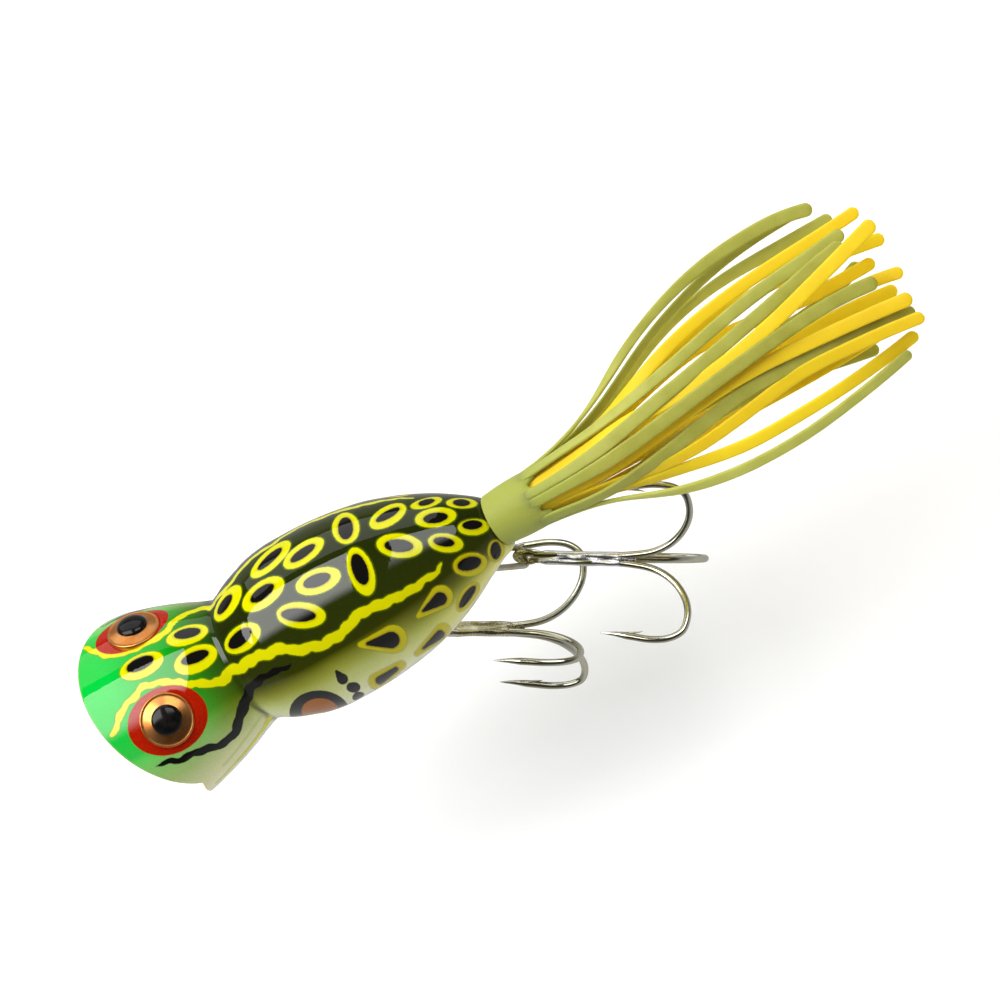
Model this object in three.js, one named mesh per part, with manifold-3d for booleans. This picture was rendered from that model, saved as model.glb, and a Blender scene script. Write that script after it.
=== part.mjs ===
// Frog-pattern topwater popper: a hollow body in two halves with a scooped mouth, tack eyes,
// a screw-eye line tie, two plate-mounted wire hangers with treble hooks, and a two-layer skirt.
// Millimetres. +X towards the nose, +Y to the lure's left, +Z up. Everything is laid out from
// the neck crease, then moved so that the centre of the bounding box is the origin.
import * as THREE from 'three';
import Module from 'manifold-3d';
import { mergeVertices } from 'three/addons/utils/BufferGeometryUtils.js';

const wasm = await Module();
wasm.setup();

const vec = (x, y, z) => new THREE.Vector3(x, y, z);
const X_AXIS = vec(1, 0, 0);
const Y_AXIS = vec(0, 1, 0);
const REARWARD = vec(-1, 0, 0);
const SIDE_SIGN = { left: 1, right: -1 };

// ---------------------------------------------------------------- shared dimensions
const TAIL_X = -37.75; // rear face of the body
const CLEAR = 0.05; // clearance round pins, wires and screws
const SEAT_GAP = 0.03; // gap under a seated piece
const MOUTH_FLOOR_X = 3.4; // flat bottom of the mouth cup
const POST_R = 1.8; // skirt post
const POST_BEAD_R = 2.05; // bead near the end of the post
const TIE_WIRE_R = 0.46;
const BAIL_R = 0.42; // hanger wire radius
const BAIL_HALF = 1.36; // half spacing of the bail legs at the hook
const BAIL_FOOT = 1.8; // half spacing where they enter the body
const SCREW_R = 0.55;
const WIRE_SIDES = 8;
const TAIL_SIDES = 20; // facets of the post, collars and strands

// Hangers. The normal points out of the pad and `drop` runs from pad to bail wire; `screwAt` is
// the distance of each screw from the pad's middle. `shank` is the hook's direction at rest,
// and `firstProng` is the angle of its single prong about the shank, in degrees.
const BELLY = {
  seat: vec(-17.5, 0, -11.75),
  normal: vec(0, 0, -1),
  drop: 3.4,
  screwAt: 3.45,
  pad: { length: 10.4, width: 5.6, depth: 4.6 },
  plateLength: 9.6,
  shank: vec(-0.8556, 0.3396, -0.3906),
  firstProng: 9.2,
};
const TAIL = {
  seat: vec(-32.6, 0, -7.2),
  normal: vec(-0.545, 0, -0.8384),
  drop: 6.35,
  screwAt: 3.0,
  pad: { length: 9.4, width: 5.2, depth: 3.75 },
  plateLength: 8.6,
  shank: vec(-0.8664, 0.4170, -0.2746),
  firstProng: 88,
};
for (const hanger of [BELLY, TAIL]) {
  hanger.along = vec(-hanger.normal.z, 0, hanger.normal.x); // forwards in the pad's plane
}

// ---------------------------------------------------------------- solid helpers
// welds a geometry into a solid, right way out
function toSolid(geometry) {
  for (const name of Object.keys(geometry.attributes)) {
    if (name !== 'position') geometry.deleteAttribute(name);
  }
  const welded = mergeVertices(geometry, 1e-5);
  const { position } = welded.attributes;
  const index = welded.index.array;
  const corner = (i) => vec(0, 0, 0).fromBufferAttribute(position, i);
  const triangles = [];
  let volume = 0;
  for (let i = 0; i < index.length; i += 3) {
    const [a, b, c] = [index[i], index[i + 1], index[i + 2]];
    if (a === b || b === c || a === c) continue;
    triangles.push(a, b, c);
    volume += corner(a).dot(corner(b).cross(corner(c)));
  }
  if (volume < 0) triangles.reverse(); // turns every triangle over
  return new wasm.Manifold(new wasm.Mesh({
    numProp: 3,
    vertProperties: Float32Array.from(position.array),
    triVerts: Uint32Array.from(triangles),
  }));
}

function toGeometry(solid) {
  const mesh = solid.getMesh();
  const geometry = new THREE.BufferGeometry();
  const positions = Float32Array.from(mesh.vertProperties);
  geometry.setAttribute('position', new THREE.BufferAttribute(positions, 3));
  geometry.setIndex(new THREE.BufferAttribute(Uint32Array.from(mesh.triVerts), 1));
  geometry.computeVertexNormals();
  return geometry;
}

const union = (solids) => solids.reduce((sum, solid) => sum.add(solid));

// point moved by [direction, distance] steps
function offset(point, ...steps) {
  const moved = point.clone();
  for (const [direction, distance] of steps) moved.addScaledVector(direction, distance);
  return moved;
}

// ring of points about a centre, in the plane of two unit vectors
function circle(centre, across, up, radius, sides, phase) {
  return Array.from({ length: sides }, (_, j) => {
    const angle = (2 * Math.PI * j) / sides + phase;
    return offset(centre, [across, radius * Math.cos(angle)], [up, radius * Math.sin(angle)]);
  });
}

// skin through rings of points: capped at both ends, or joined end to end when closed
function loft(rings, closed = false) {
  const sides = rings[0].length;
  const positions = rings.flat().flatMap((p) => [p.x, p.y, p.z]);
  const index = [];
  const spans = closed ? rings.length : rings.length - 1;
  for (let i = 0; i < spans; i++) {
    const base = i * sides;
    const nextBase = ((i + 1) % rings.length) * sides;
    for (let j = 0; j < sides; j++) {
      const k = (j + 1) % sides;
      index.push(base + j, base + k, nextBase + k, base + j, nextBase + k, nextBase + j);
    }
  }
  const addCap = (ring, base, flip) => {
    const centre = ring.reduce((sum, p) => sum.add(p), vec(0, 0, 0)).multiplyScalar(1 / sides);
    const hub = positions.length / 3;
    positions.push(centre.x, centre.y, centre.z);
    for (let j = 0; j < sides; j++) {
      const a = base + j;
      const b = base + ((j + 1) % sides);
      if (flip) index.push(hub, b, a);
      else index.push(hub, a, b);
    }
  };
  if (!closed) {
    addCap(rings[0], 0, true);
    addCap(rings[rings.length - 1], (rings.length - 1) * sides, false);
  }
  const geometry = new THREE.BufferGeometry();
  geometry.setAttribute('position', new THREE.Float32BufferAttribute(positions, 3));
  geometry.setIndex(index);
  return toSolid(geometry);
}

// tube along points, with a radius at each; its section is carried along without twisting
function sweep(points, radii, sides, phase = 0) {
  const last = points.length - 1;
  const tangents = points.map((_, i) => {
    const before = points[Math.max(0, i - 1)];
    const after = points[Math.min(last, i + 1)];
    return after.clone().sub(before).normalize();
  });
  const across = Math.abs(tangents[0].z) < 0.9 ? vec(0, 0, 1) : vec(1, 0, 0);
  across.addScaledVector(tangents[0], -across.dot(tangents[0])).normalize();
  return loft(points.map((point, i) => {
    const tangent = tangents[i];
    if (i > 0) {
      const bend = new THREE.Quaternion().setFromUnitVectors(tangents[i - 1], tangent);
      across.applyQuaternion(bend);
      across.addScaledVector(tangent, -across.dot(tangent)).normalize();
    }
    return circle(point, across, tangent.clone().cross(across), radii[i], sides, phase);
  }));
}

// solid of revolution about an axis through base; profile rows are [radius, distance along]
function turned(profile, base, axis, sides, spin = 0) {
  const points = profile.map(([radius, distance]) => new THREE.Vector2(radius, distance));
  const geometry = new THREE.LatheGeometry(points, sides);
  const tilt = new THREE.Quaternion().setFromUnitVectors(Y_AXIS, axis.clone().normalize());
  geometry.rotateY(spin);
  geometry.applyQuaternion(tilt);
  geometry.translate(base.x, base.y, base.z);
  return toSolid(geometry);
}

// cylinder between two distances along an axis
const rod = (base, axis, radius, from, to, sides) =>
  turned([[0, from], [radius, from], [radius, to], [0, to]], base, axis, sides);

// slab with rounded corners, between two heights along its normal
function slab(centre, along, normal, { length, width, from, to, corner }) {
  const outline = new THREE.Shape();
  [[1, -1], [1, 1], [-1, 1], [-1, -1]].forEach(([signX, signY], i) => {
    const x = signX * (length / 2 - corner);
    const y = signY * (width / 2 - corner);
    outline.absarc(x, y, corner, (i - 1) * Math.PI / 2, i * Math.PI / 2, false);
  });
  const geometry = new THREE.ExtrudeGeometry(outline, {
    depth: to - from,
    bevelEnabled: false,
    curveSegments: 4,
  });
  geometry.translate(0, 0, from);
  const basisZ = normal.clone().normalize();
  const basisX = along.clone().normalize();
  const basisY = basisZ.clone().cross(basisX);
  const placement = new THREE.Matrix4().makeBasis(basisX, basisY, basisZ).setPosition(centre);
  geometry.applyMatrix4(placement);
  return toSolid(geometry);
}

// ---------------------------------------------------------------- body outline
// round part, tail to neck: [x, radius]
const BODY = [
  [TAIL_X, 3.4], [-37.5, 3.75], [-36.6, 4.45], [-35.5, 5.15], [-34.2, 5.92], [-31.5, 7.4],
  [-28.9, 8.6], [-26.2, 9.6], [-23.6, 10.4], [-20.9, 10.95], [-18.3, 11.32], [-15.6, 11.57],
  [-12.9, 11.66], [-10.3, 11.66], [-8.0, 11.45], [-6.3, 11.12], [-5.0, 10.7], [-3.65, 10.24],
  [-2.3, 9.7], [-1.0, 9.05], [0, 8.6],
];
// head, neck to nose: [x, half-width, height above the axis, depth below it]
const HEAD = [
  [1.7, 9.27, 9.02, 9.02], [4.3, 10.5, 9.68, 9.72], [7, 11.6, 10.12, 10.25],
  [9.6, 12.48, 10.45, 10.65], [12.3, 13.2, 10.7, 10.95], [14.5, 13.38, 10.82, 11.1],
  [16.8, 13.42, 10.88, 11.1], [20, 13.45, 10.9, 11.1],
];
const OUTLINE = [...BODY.map(([x, radius]) => [x, radius, radius, radius]), ...HEAD];

// side profile of the mouth opening, top to bottom: [x, z]
const FACE = [
  [19.6, 12.4], [18.6, 10.9], [16.65, 8.0], [13.92, 4.0], [11.9, 1.0], [11.35, 0.05],
  [11.45, -0.5], [11.9, -2.4], [12.25, -6], [12.3, -12.5],
];

// a column of the outline, interpolated at x
function outlineAt(x, column) {
  const next = OUTLINE.findIndex((row) => x <= row[0]);
  if (next === 0) return OUTLINE[0][column];
  const before = OUTLINE[next - 1];
  const after = OUTLINE[next];
  const t = (x - before[0]) / (after[0] - before[0]);
  return before[column] + (after[column] - before[column]) * t;
}

// height of the section centre, which curves downwards over the last stretch of the tail
const DROOP_START_X = -33;
const DROOP_LENGTH = 5.2;
const DROOP = 0.9;
function centreHeight(x) {
  if (x > DROOP_START_X) return 0;
  return -DROOP * Math.min(1, (DROOP_START_X - x) / DROOP_LENGTH) ** 1.3;
}

// ring round the body at x, moved in by inset and then scaled
function section(x, sides, inset = 0, scale = 1) {
  const halfWidth = outlineAt(x, 1);
  const above = outlineAt(x, 2);
  const below = outlineAt(x, 3);
  return Array.from({ length: sides }, (_, j) => {
    const angle = (2 * Math.PI * (j + 0.5)) / sides;
    const cos = Math.cos(angle);
    const sin = Math.sin(angle);
    const height = sin > 0 ? above : below;
    const y = (halfWidth - inset) * scale * cos;
    const z = centreHeight(x) + (height - inset) * scale * sin;
    return vec(x, y, z);
  });
}

// everything ahead of the mouth opening
function faceCut() {
  const frontX = 26;
  const halfSpan = 20;
  const topZ = FACE[0][1];
  const bottomZ = FACE[FACE.length - 1][1];
  const points = [...FACE, [frontX, bottomZ], [frontX, topZ]];
  const outline = new THREE.Shape(points.map(([x, z]) => new THREE.Vector2(x, z)));
  const geometry = new THREE.ExtrudeGeometry(outline, {
    depth: 2 * halfSpan,
    bevelEnabled: false,
  });
  geometry.translate(0, 0, -halfSpan);
  geometry.rotateX(Math.PI / 2);
  return toSolid(geometry);
}

// mouth cup: flat floor, rounded bowl, then a wall that follows the outside
function mouthCup() {
  const lipWall = 1.7;
  const bowlEndX = 12.6; // the wall runs straight on from here
  const bowlDepth = bowlEndX - 3.0;
  const floorScale = 0.3; // least size of the flat floor
  const outlineEndX = 19.5; // ahead of this the section stays the same
  const stations = [MOUTH_FLOOR_X, 3.9, 5.1, 7.2, 10, 13, 16.5, 22];
  return loft(stations.map((x) => {
    const scale = x >= bowlEndX ? 1 : Math.sqrt(1 - ((bowlEndX - x) / bowlDepth) ** 2);
    const ring = section(Math.min(x, outlineEndX), 30, lipWall, Math.max(scale, floorScale));
    return ring.map((p) => vec(x, p.y, p.z));
  }));
}

// hollow behind the cup, drawn in at both ends
function bodyHollow() {
  const wall = 1.9;
  const stations = [-31.5, -28.9, -25, -20.9, -15.6, -10.3, -5, -2.3, -0.4];
  const scales = { 0: 0.55, [stations.length - 1]: 0.86 };
  return loft(stations.map((x, i) => section(x, 20, wall, scales[i] ?? 1)));
}

function skirtPost() {
  const end = TAIL_X + 45.2 + 2 * -TAIL_X - 2 * -TAIL_X; // length behind the rear face
  return turned([
    [0, -0.6], [POST_R, -0.6], [POST_R, end - 1.5], [POST_BEAD_R, end - 1.1],
    [POST_BEAD_R, end - 0.45], [POST_R - 0.2, end], [0, end],
  ], vec(TAIL_X, 0, 0), REARWARD, TAIL_SIDES, Math.PI / TAIL_SIDES);
}

// ---------------------------------------------------------------- body halves
const PINS = [[-5.5, 8.9], [-24.5, 8.3], [-9.5, -9.8]]; // locating pins: [x, z]
const PIN_R = 0.6;
const ORIGIN = vec(0, 0, 0);

// eye seat centre and outward direction
const eyeCentre = (side) => vec(10.0, SIDE_SIGN[side] * 6.9, 8.66);
const eyeNormal = (side) => vec(-0.2592, SIDE_SIGN[side] * 0.4636, 0.8473);

// slab on a hanger's pad outline
const padSlab = ({ seat, along, normal, pad: { length, width } }, from, to) =>
  slab(seat, along, normal, { length, width, from, to, corner: 1.6 });

// cylinders round a hanger's bail legs and screws
function hangerHoles({ seat, along, normal, screwAt }, { legDepth, screwDepth, height }) {
  const legs = [-BAIL_FOOT, BAIL_FOOT].map((y) =>
    rod(offset(seat, [Y_AXIS, y]), normal, BAIL_R + CLEAR, -legDepth, height, 10));
  const screws = [-screwAt, screwAt].map((distance) =>
    rod(offset(seat, [along, distance]), normal, SCREW_R + CLEAR, -screwDepth, height, 10));
  return union([...legs, ...screws]);
}

function shellCuts() {
  const eyeCuts = ['left', 'right'].flatMap((side) => [
    rod(eyeCentre(side), eyeNormal(side), 3.65, -0.42, 2.5, 28), // washer seat
    rod(eyeCentre(side), eyeNormal(side), 0.55, -1.35, 2.5, 10), // pin hole
  ]);
  const depths = { legDepth: 3.0, screwDepth: 3.4, height: 1 };
  return union([
    rod(ORIGIN, X_AXIS, TIE_WIRE_R + CLEAR, -5.6, 4.2, 12),
    ...eyeCuts,
    hangerHoles(BELLY, depths),
    hangerHoles(TAIL, depths),
    // nothing of the skin stands in front of a hanger pad
    padSlab(BELLY, 0, 3),
    padSlab(TAIL, 0, 3),
  ]);
}

function bodyShell() {
  const skin = loft(OUTLINE.map(([x]) => section(x, 36)));
  const hollow = bodyHollow();
  const padsAndPost = [
    padSlab(BELLY, -BELLY.pad.depth, 0),
    padSlab(TAIL, -TAIL.pad.depth, 0),
    skirtPost(),
  ];
  const bosses = union([
    rod(ORIGIN, X_AXIS, 2.9, -6.6, 3.0, 16), // holds the line tie
    ...padsAndPost,
    ...PINS.map(([x, z]) => rod(vec(x, 0, z), Y_AXIS, 1.35, -2.4, 2.4, 12)),
  ]);
  // bosses stay inside the skin, except the pads and the post
  const outside = union(padsAndPost);
  return skin.subtract(hollow)
    .add(bosses.intersect(skin.add(outside)))
    .add(outside.subtract(hollow.subtract(bosses)))
    .subtract(faceCut())
    .subtract(mouthCup())
    .subtract(shellCuts());
}

// box that keeps one side of the body, stopping just short of the centre plane
function sideBox(side) {
  const splitGap = 0.015;
  const reach = 20;
  const [rearX, frontX] = [-60, 30];
  const geometry = new THREE.BoxGeometry(frontX - rearX, reach - splitGap, 2 * reach);
  geometry.translate((rearX + frontX) / 2, SIDE_SIGN[side] * (splitGap + reach) / 2, 0);
  return toSolid(geometry);
}

// the left half carries the locating pins and the right half their holes
function bodyHalves() {
  const shell = bodyShell();
  let left = shell.intersect(sideBox('left'));
  let right = shell.intersect(sideBox('right'));
  for (const [x, z] of PINS) {
    left = left.add(rod(vec(x, 0, z), Y_AXIS, PIN_R, -1.2, 0.5, 10));
    right = right.subtract(rod(vec(x, 0, z), Y_AXIS, PIN_R + CLEAR, -1.5, 0.5, 10));
  }
  return { left, right };
}

// ---------------------------------------------------------------- treble hooks
const HOOK_R = 0.465; // wire radius
const HOOK_EYE_R = 1.3; // eye, centre line radius
const HOOK_EYE_SHIFT = 0.2; // eye centre past the bail wire
const HOOK_EYE_STEPS = 18;
const PAIR_OFFSET = 0.5; // shank wire from the hook's axis, for the double
const SINGLE_OFFSET = 0.66; // and for the single
const SINGLE_START = 2.85; // the single wire starts past the eye
const PRONG_SPACING = 120; // degrees
const PRONG_STEPS = 22;
const PRONG_ZERO = vec(-0.4681, -0.8294, 0.303); // prong angles are measured from here

// prong centre line: [distance along the shank from the bail wire, distance out from it]
const SHANK_STATIONS = [1.35, 6, 11]; // straight part, at the wire's own offset
const BEND = [
  [13.9, 0.68], [17.0, 1.3], [19.3, 2.6], [21.0, 4.5], [21.95, 6.6], [22.1, 8.5],
  [21.5, 10.1], [20.0, 10.92], [17.8, 11.05], [15.0, 10.88],
];
const PRONG_TIP = [11.7, 10.66];
const POINT_START = [PRONG_TIP[0] + 1.6, PRONG_TIP[1] + 0.28]; // the wire tapers from here

// barb end faces: [along the shank, out, sideways]
const BARB = [
  [[14.0, 10.8, 0.16], [14.0, 10.8, -0.16], [14.05, 10.45, -0.12], [14.05, 10.45, 0.12]],
  [[15.9, 10.75, 0.1], [15.9, 10.75, -0.1], [16.0, 10.1, -0.03], [16.0, 10.1, 0.03]],
];

function prong(bail, shank, out, wireOffset) {
  const sideways = shank.clone().cross(out);
  const place = (along, away, side) =>
    offset(bail, [shank, along], [out, away], [sideways, side]);
  const path = [...SHANK_STATIONS.map((along) => [along, wireOffset]), ...BEND, POINT_START];
  const controls = path.map(([along, away]) => vec(along, away, 0));
  const curve = new THREE.CatmullRomCurve3(controls, false, 'centripetal');
  const points = curve.getPoints(PRONG_STEPS).map((p) => place(p.x, p.y, 0));
  const radii = points.map(() => HOOK_R);
  radii[radii.length - 1] = HOOK_R * 0.86;
  points.push(place(...PRONG_TIP, 0));
  radii.push(0.07);
  const barb = loft(BARB.map((ring) => ring.map((p) => place(...p))));
  return sweep(points, radii, WIRE_SIDES).add(barb);
}

// the eye's hole axis lies close to the bail wire
function hookEye(bail, shank) {
  const holeAxis = Y_AXIS.clone().addScaledVector(shank, -shank.y).normalize();
  const across = holeAxis.clone().cross(shank).normalize();
  const centre = offset(bail, [shank, HOOK_EYE_SHIFT]);
  const rings = Array.from({ length: HOOK_EYE_STEPS }, (_, i) => {
    const angle = (2 * Math.PI * i) / HOOK_EYE_STEPS;
    const outward = offset(ORIGIN, [shank, Math.cos(angle)], [across, Math.sin(angle)]);
    const wireCentre = offset(centre, [outward, HOOK_EYE_R]);
    return circle(wireCentre, outward, holeAxis, HOOK_R, WIRE_SIDES, Math.PI / WIRE_SIDES);
  });
  return loft(rings, true);
}

// one wire makes the eye and two prongs, and a second wire the third prong
function treble(hanger) {
  const bail = offset(hanger.seat, [hanger.normal, hanger.drop]);
  const shank = hanger.shank.clone().normalize();
  const zero = offset(PRONG_ZERO, [shank, -PRONG_ZERO.dot(shank)]).normalize();
  const quarter = zero.clone().cross(shank).normalize();
  const [first, second, third] = [0, 1, 2].map((k) => {
    const angle = THREE.MathUtils.degToRad(hanger.firstProng + k * PRONG_SPACING);
    return offset(ORIGIN, [zero, Math.cos(angle)], [quarter, Math.sin(angle)]);
  });
  const double = union([
    hookEye(bail, shank),
    prong(bail, shank, second, PAIR_OFFSET),
    prong(bail, shank, third, PAIR_OFFSET),
  ]);
  const pastEye = rod(bail, shank, 16, SINGLE_START, 40, 12);
  const single = prong(bail, shank, first, SINGLE_OFFSET).intersect(pastEye);
  return { double, single };
}

// ---------------------------------------------------------------- hangers
const PLATE_THICKNESS = 0.6;
const PLATE_WIDTH = 4.6;
const BAIL_CORNER_R = 0.7;
const BAIL_CORNER_STEPS = 4;

// U-shaped wire: one leg and corner, then their mirror image
function hangerBail({ seat, normal, drop }) {
  const cornerHeight = drop - BAIL_CORNER_R;
  // [y, height above the pad]
  const half = [
    [-BAIL_FOOT, -2.8], [-BAIL_FOOT, 0.7], [-BAIL_FOOT + 0.04, 1.0],
    [-BAIL_HALF - 0.03, cornerHeight - 0.4],
  ];
  for (let i = 0; i <= BAIL_CORNER_STEPS; i++) {
    const angle = (i / BAIL_CORNER_STEPS) * Math.PI / 2;
    const y = -BAIL_HALF + BAIL_CORNER_R - BAIL_CORNER_R * Math.cos(angle);
    half.push([y, cornerHeight + BAIL_CORNER_R * Math.sin(angle)]);
  }
  const mirrored = half.map(([y, height]) => [-y, height]).reverse();
  const points = [...half, ...mirrored].map(([y, height]) =>
    offset(seat, [Y_AXIS, y], [normal, height]));
  return sweep(points, points.map(() => BAIL_R), WIRE_SIDES, Math.PI / WIRE_SIDES);
}

function hangerPlate(hanger) {
  const blank = slab(hanger.seat, hanger.along, hanger.normal, {
    length: hanger.plateLength,
    width: PLATE_WIDTH,
    from: SEAT_GAP,
    to: SEAT_GAP + PLATE_THICKNESS,
    corner: 1.3,
  });
  return blank.subtract(hangerHoles(hanger, { legDepth: 1, screwDepth: 1, height: 3 }));
}

// slotted screw, at a distance along the plate from its middle
function hangerScrew({ seat, along, normal }, distance) {
  const base = offset(seat, [along, distance]);
  const head = SEAT_GAP * 2 + PLATE_THICKNESS; // underside of the head
  const blank = turned([
    [0, -3.0], [0.2, -3.0], [SCREW_R, -2.4], [SCREW_R, head], [1.05, head], [1.05, head + 0.25],
    [0.8, head + 0.55], [0.4, head + 0.68], [0, head + 0.7],
  ], base, normal, 12);
  const slot = slab(offset(base, [normal, head + 0.45]), Y_AXIS, normal, {
    length: 3,
    width: 0.3,
    from: 0,
    to: 1,
    corner: 0.05,
  });
  return blank.subtract(slot);
}

// ---------------------------------------------------------------- line tie
function lineTieWasher() {
  const hole = TIE_WIRE_R + CLEAR + 0.02;
  const rear = MOUTH_FLOOR_X + SEAT_GAP;
  const front = MOUTH_FLOOR_X + 0.5;
  return turned([
    [hole, rear], [2.15, rear], [2.3, rear + 0.15], [2.3, front], [hole, front], [hole, rear],
  ], ORIGIN, X_AXIS, 16);
}

// pointed shank, then a loop that stops short of closing
function lineTieEye() {
  const loopR = 1.75;
  const loopX = MOUTH_FLOOR_X + 0.75 + loopR;
  const loopSteps = 20;
  const loopSweep = 2 * Math.PI - 0.42;
  const points = [-5.2, -4.4, 3, 3.95].map((x) => vec(x, 0, 0));
  for (let i = 1; i <= loopSteps; i++) {
    const angle = Math.PI + (i / loopSteps) * loopSweep;
    points.push(vec(loopX + loopR * Math.cos(angle), 0, loopR * Math.sin(angle)));
  }
  const radii = points.map((_, i) => (i === 0 ? 0.16 : TIE_WIRE_R));
  return sweep(points, radii, WIRE_SIDES, Math.PI / WIRE_SIDES);
}

// ---------------------------------------------------------------- eyes
const eyeWasher = (side) => turned([
  [0.72, -0.38], [3.55, -0.38], [3.58, 0.08], [3.42, 0.3], [3.2, 0.26], [2.1, 0.74],
  [1.75, 0.8], [0.72, 0.8], [0.72, -0.38],
], eyeCentre(side), eyeNormal(side), 24);

const eyePin = (side) => turned([
  [0, -1.25], [0.5, -1.25], [0.5, 0.84], [2.0, 0.84], [1.94, 1.2], [1.7, 1.55], [1.25, 1.85],
  [0.65, 2.02], [0, 2.06],
], eyeCentre(side), eyeNormal(side), 18);

// ---------------------------------------------------------------- skirt
const COLLAR_START = 0.12; // behind the rear face of the body
const COLLAR_END = 10.0;
const STRAND_BASE = vec(-48.2, 0, 0); // strand distances are measured from here
const STRAND_AXIS = vec(-1, -0.034, 0.08); // drift of the strands per millimetre rearwards
const STRAND_LENGTH = STRAND_BASE.x + 97;
const OUTER_STRAND_WALL = 1;

const collar = (profile) =>
  turned(profile, vec(TAIL_X, 0, 0), REARWARD, TAIL_SIDES, Math.PI / TAIL_SIDES);

function innerCollar() {
  const postBore = POST_R + CLEAR;
  const beadBore = POST_BEAD_R + CLEAR;
  return collar([
    [postBore, COLLAR_START], [2.6, COLLAR_START], [2.62, COLLAR_END], [beadBore, COLLAR_END],
    [beadBore, 5.3], [postBore, 5.0], [postBore, COLLAR_START],
  ]);
}

const outerCollar = () => collar([
  [2.68, COLLAR_START], [3.2, COLLAR_START], [3.5, 1.6], [3.75, 3.2], [3.8, 5.5], [3.98, 8.2],
  [4.1, COLLAR_END], [2.7, COLLAR_END], [2.68, COLLAR_START],
]);

// flared bundle, round in the YZ plane; rows are [distance behind the strand base, radius]
const strandBundle = (rows) => loft(rows.map(([distance, radius]) => {
  const centre = offset(STRAND_BASE, [STRAND_AXIS, distance]);
  return circle(centre, Y_AXIS, vec(0, 0, 1), radius, TAIL_SIDES, Math.PI / TAIL_SIDES);
}));

// hollow bundle; the bore runs past both ends
function outerStrands() {
  const rows = [[2.4, 4.2], [8, 4.9], [20, 6.9], [34, 8.9], [STRAND_LENGTH, 10.4]];
  const bore = rows.map(([distance, radius]) => [distance, radius - OUTER_STRAND_WALL]);
  const [first, last] = [bore[0], bore[bore.length - 1]];
  const longBore = [[first[0] - 1, first[1]], ...bore, [last[0] + 1, last[1]]];
  return strandBundle(rows).subtract(strandBundle(longBore));
}

const innerStrands = () => strandBundle([
  [0.6, 0.4], [1.7, 2.6], [8, 3.5], [20, 5.5], [34, 7.5], [STRAND_LENGTH + 1.5, 8.9],
]);

// ---------------------------------------------------------------- assembly
const NICKEL = 0xb9b49a;
const STEEL = 0xa8a8a4;
const MATERIALS = {
  shell: { color: 0x5d7a1e, roughness: 0.15, metalness: 0 },
  copper: { color: 0xb06a38, roughness: 0.3, metalness: 1 },
  black: { color: 0x0a0a0a, roughness: 0.1, metalness: 0 },
  steelWire: { color: STEEL, roughness: 0.25, metalness: 1 },
  steelWasher: { color: STEEL, roughness: 0.3, metalness: 1 },
  nickelWire: { color: NICKEL, roughness: 0.25, metalness: 1 },
  nickelPlate: { color: NICKEL, roughness: 0.3, metalness: 1 },
  nickelHook: { color: NICKEL, roughness: 0.2, metalness: 1 },
  skirtOuter: { color: 0xaab95a, roughness: 0.6, metalness: 0 },
  skirtInner: { color: 0xebcd14, roughness: 0.6, metalness: 0 },
};

const group = new THREE.Group();
function put(name, solid, finish) {
  const material = new THREE.MeshStandardMaterial(MATERIALS[finish]);
  const mesh = new THREE.Mesh(toGeometry(solid), material);
  mesh.name = name;
  group.add(mesh);
}

const body = bodyHalves();
put('body_left', body.left, 'shell');
put('body_right', body.right, 'shell');
for (const side of ['left', 'right']) {
  put(`eye_washer_${side}`, eyeWasher(side), 'copper');
  put(`eye_pin_${side}`, eyePin(side), 'black');
}
put('line_tie_eye', lineTieEye(), 'steelWire');
put('line_tie_washer', lineTieWasher(), 'steelWasher');
const hangers = Object.entries({ belly: BELLY, tail: TAIL });
for (const [place, hanger] of hangers) {
  put(`${place}_hanger_bail`, hangerBail(hanger), 'nickelWire');
  put(`${place}_hanger_plate`, hangerPlate(hanger), 'nickelPlate');
  put(`${place}_hanger_screw_front`, hangerScrew(hanger, hanger.screwAt), 'nickelPlate');
  put(`${place}_hanger_screw_rear`, hangerScrew(hanger, -hanger.screwAt), 'nickelPlate');
}
for (const [place, hanger] of hangers) {
  const hook = treble(hanger);
  put(`${place}_treble_double`, hook.double, 'nickelHook');
  put(`${place}_treble_single`, hook.single, 'nickelHook');
}
put('skirt_outer_collar', outerCollar(), 'skirtOuter');
put('skirt_inner_collar', innerCollar(), 'skirtInner');
put('skirt_outer_strands', outerStrands(), 'skirtOuter');
put('skirt_inner_strands', innerStrands(), 'skirtInner');

const middle = new THREE.Box3().setFromObject(group).getCenter(vec(0, 0, 0));
for (const mesh of group.children) mesh.geometry.translate(-middle.x, -middle.y, -middle.z);

export default group;
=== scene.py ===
import bpy
import math
import numpy as np
from mathutils import Matrix, Vector


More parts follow.
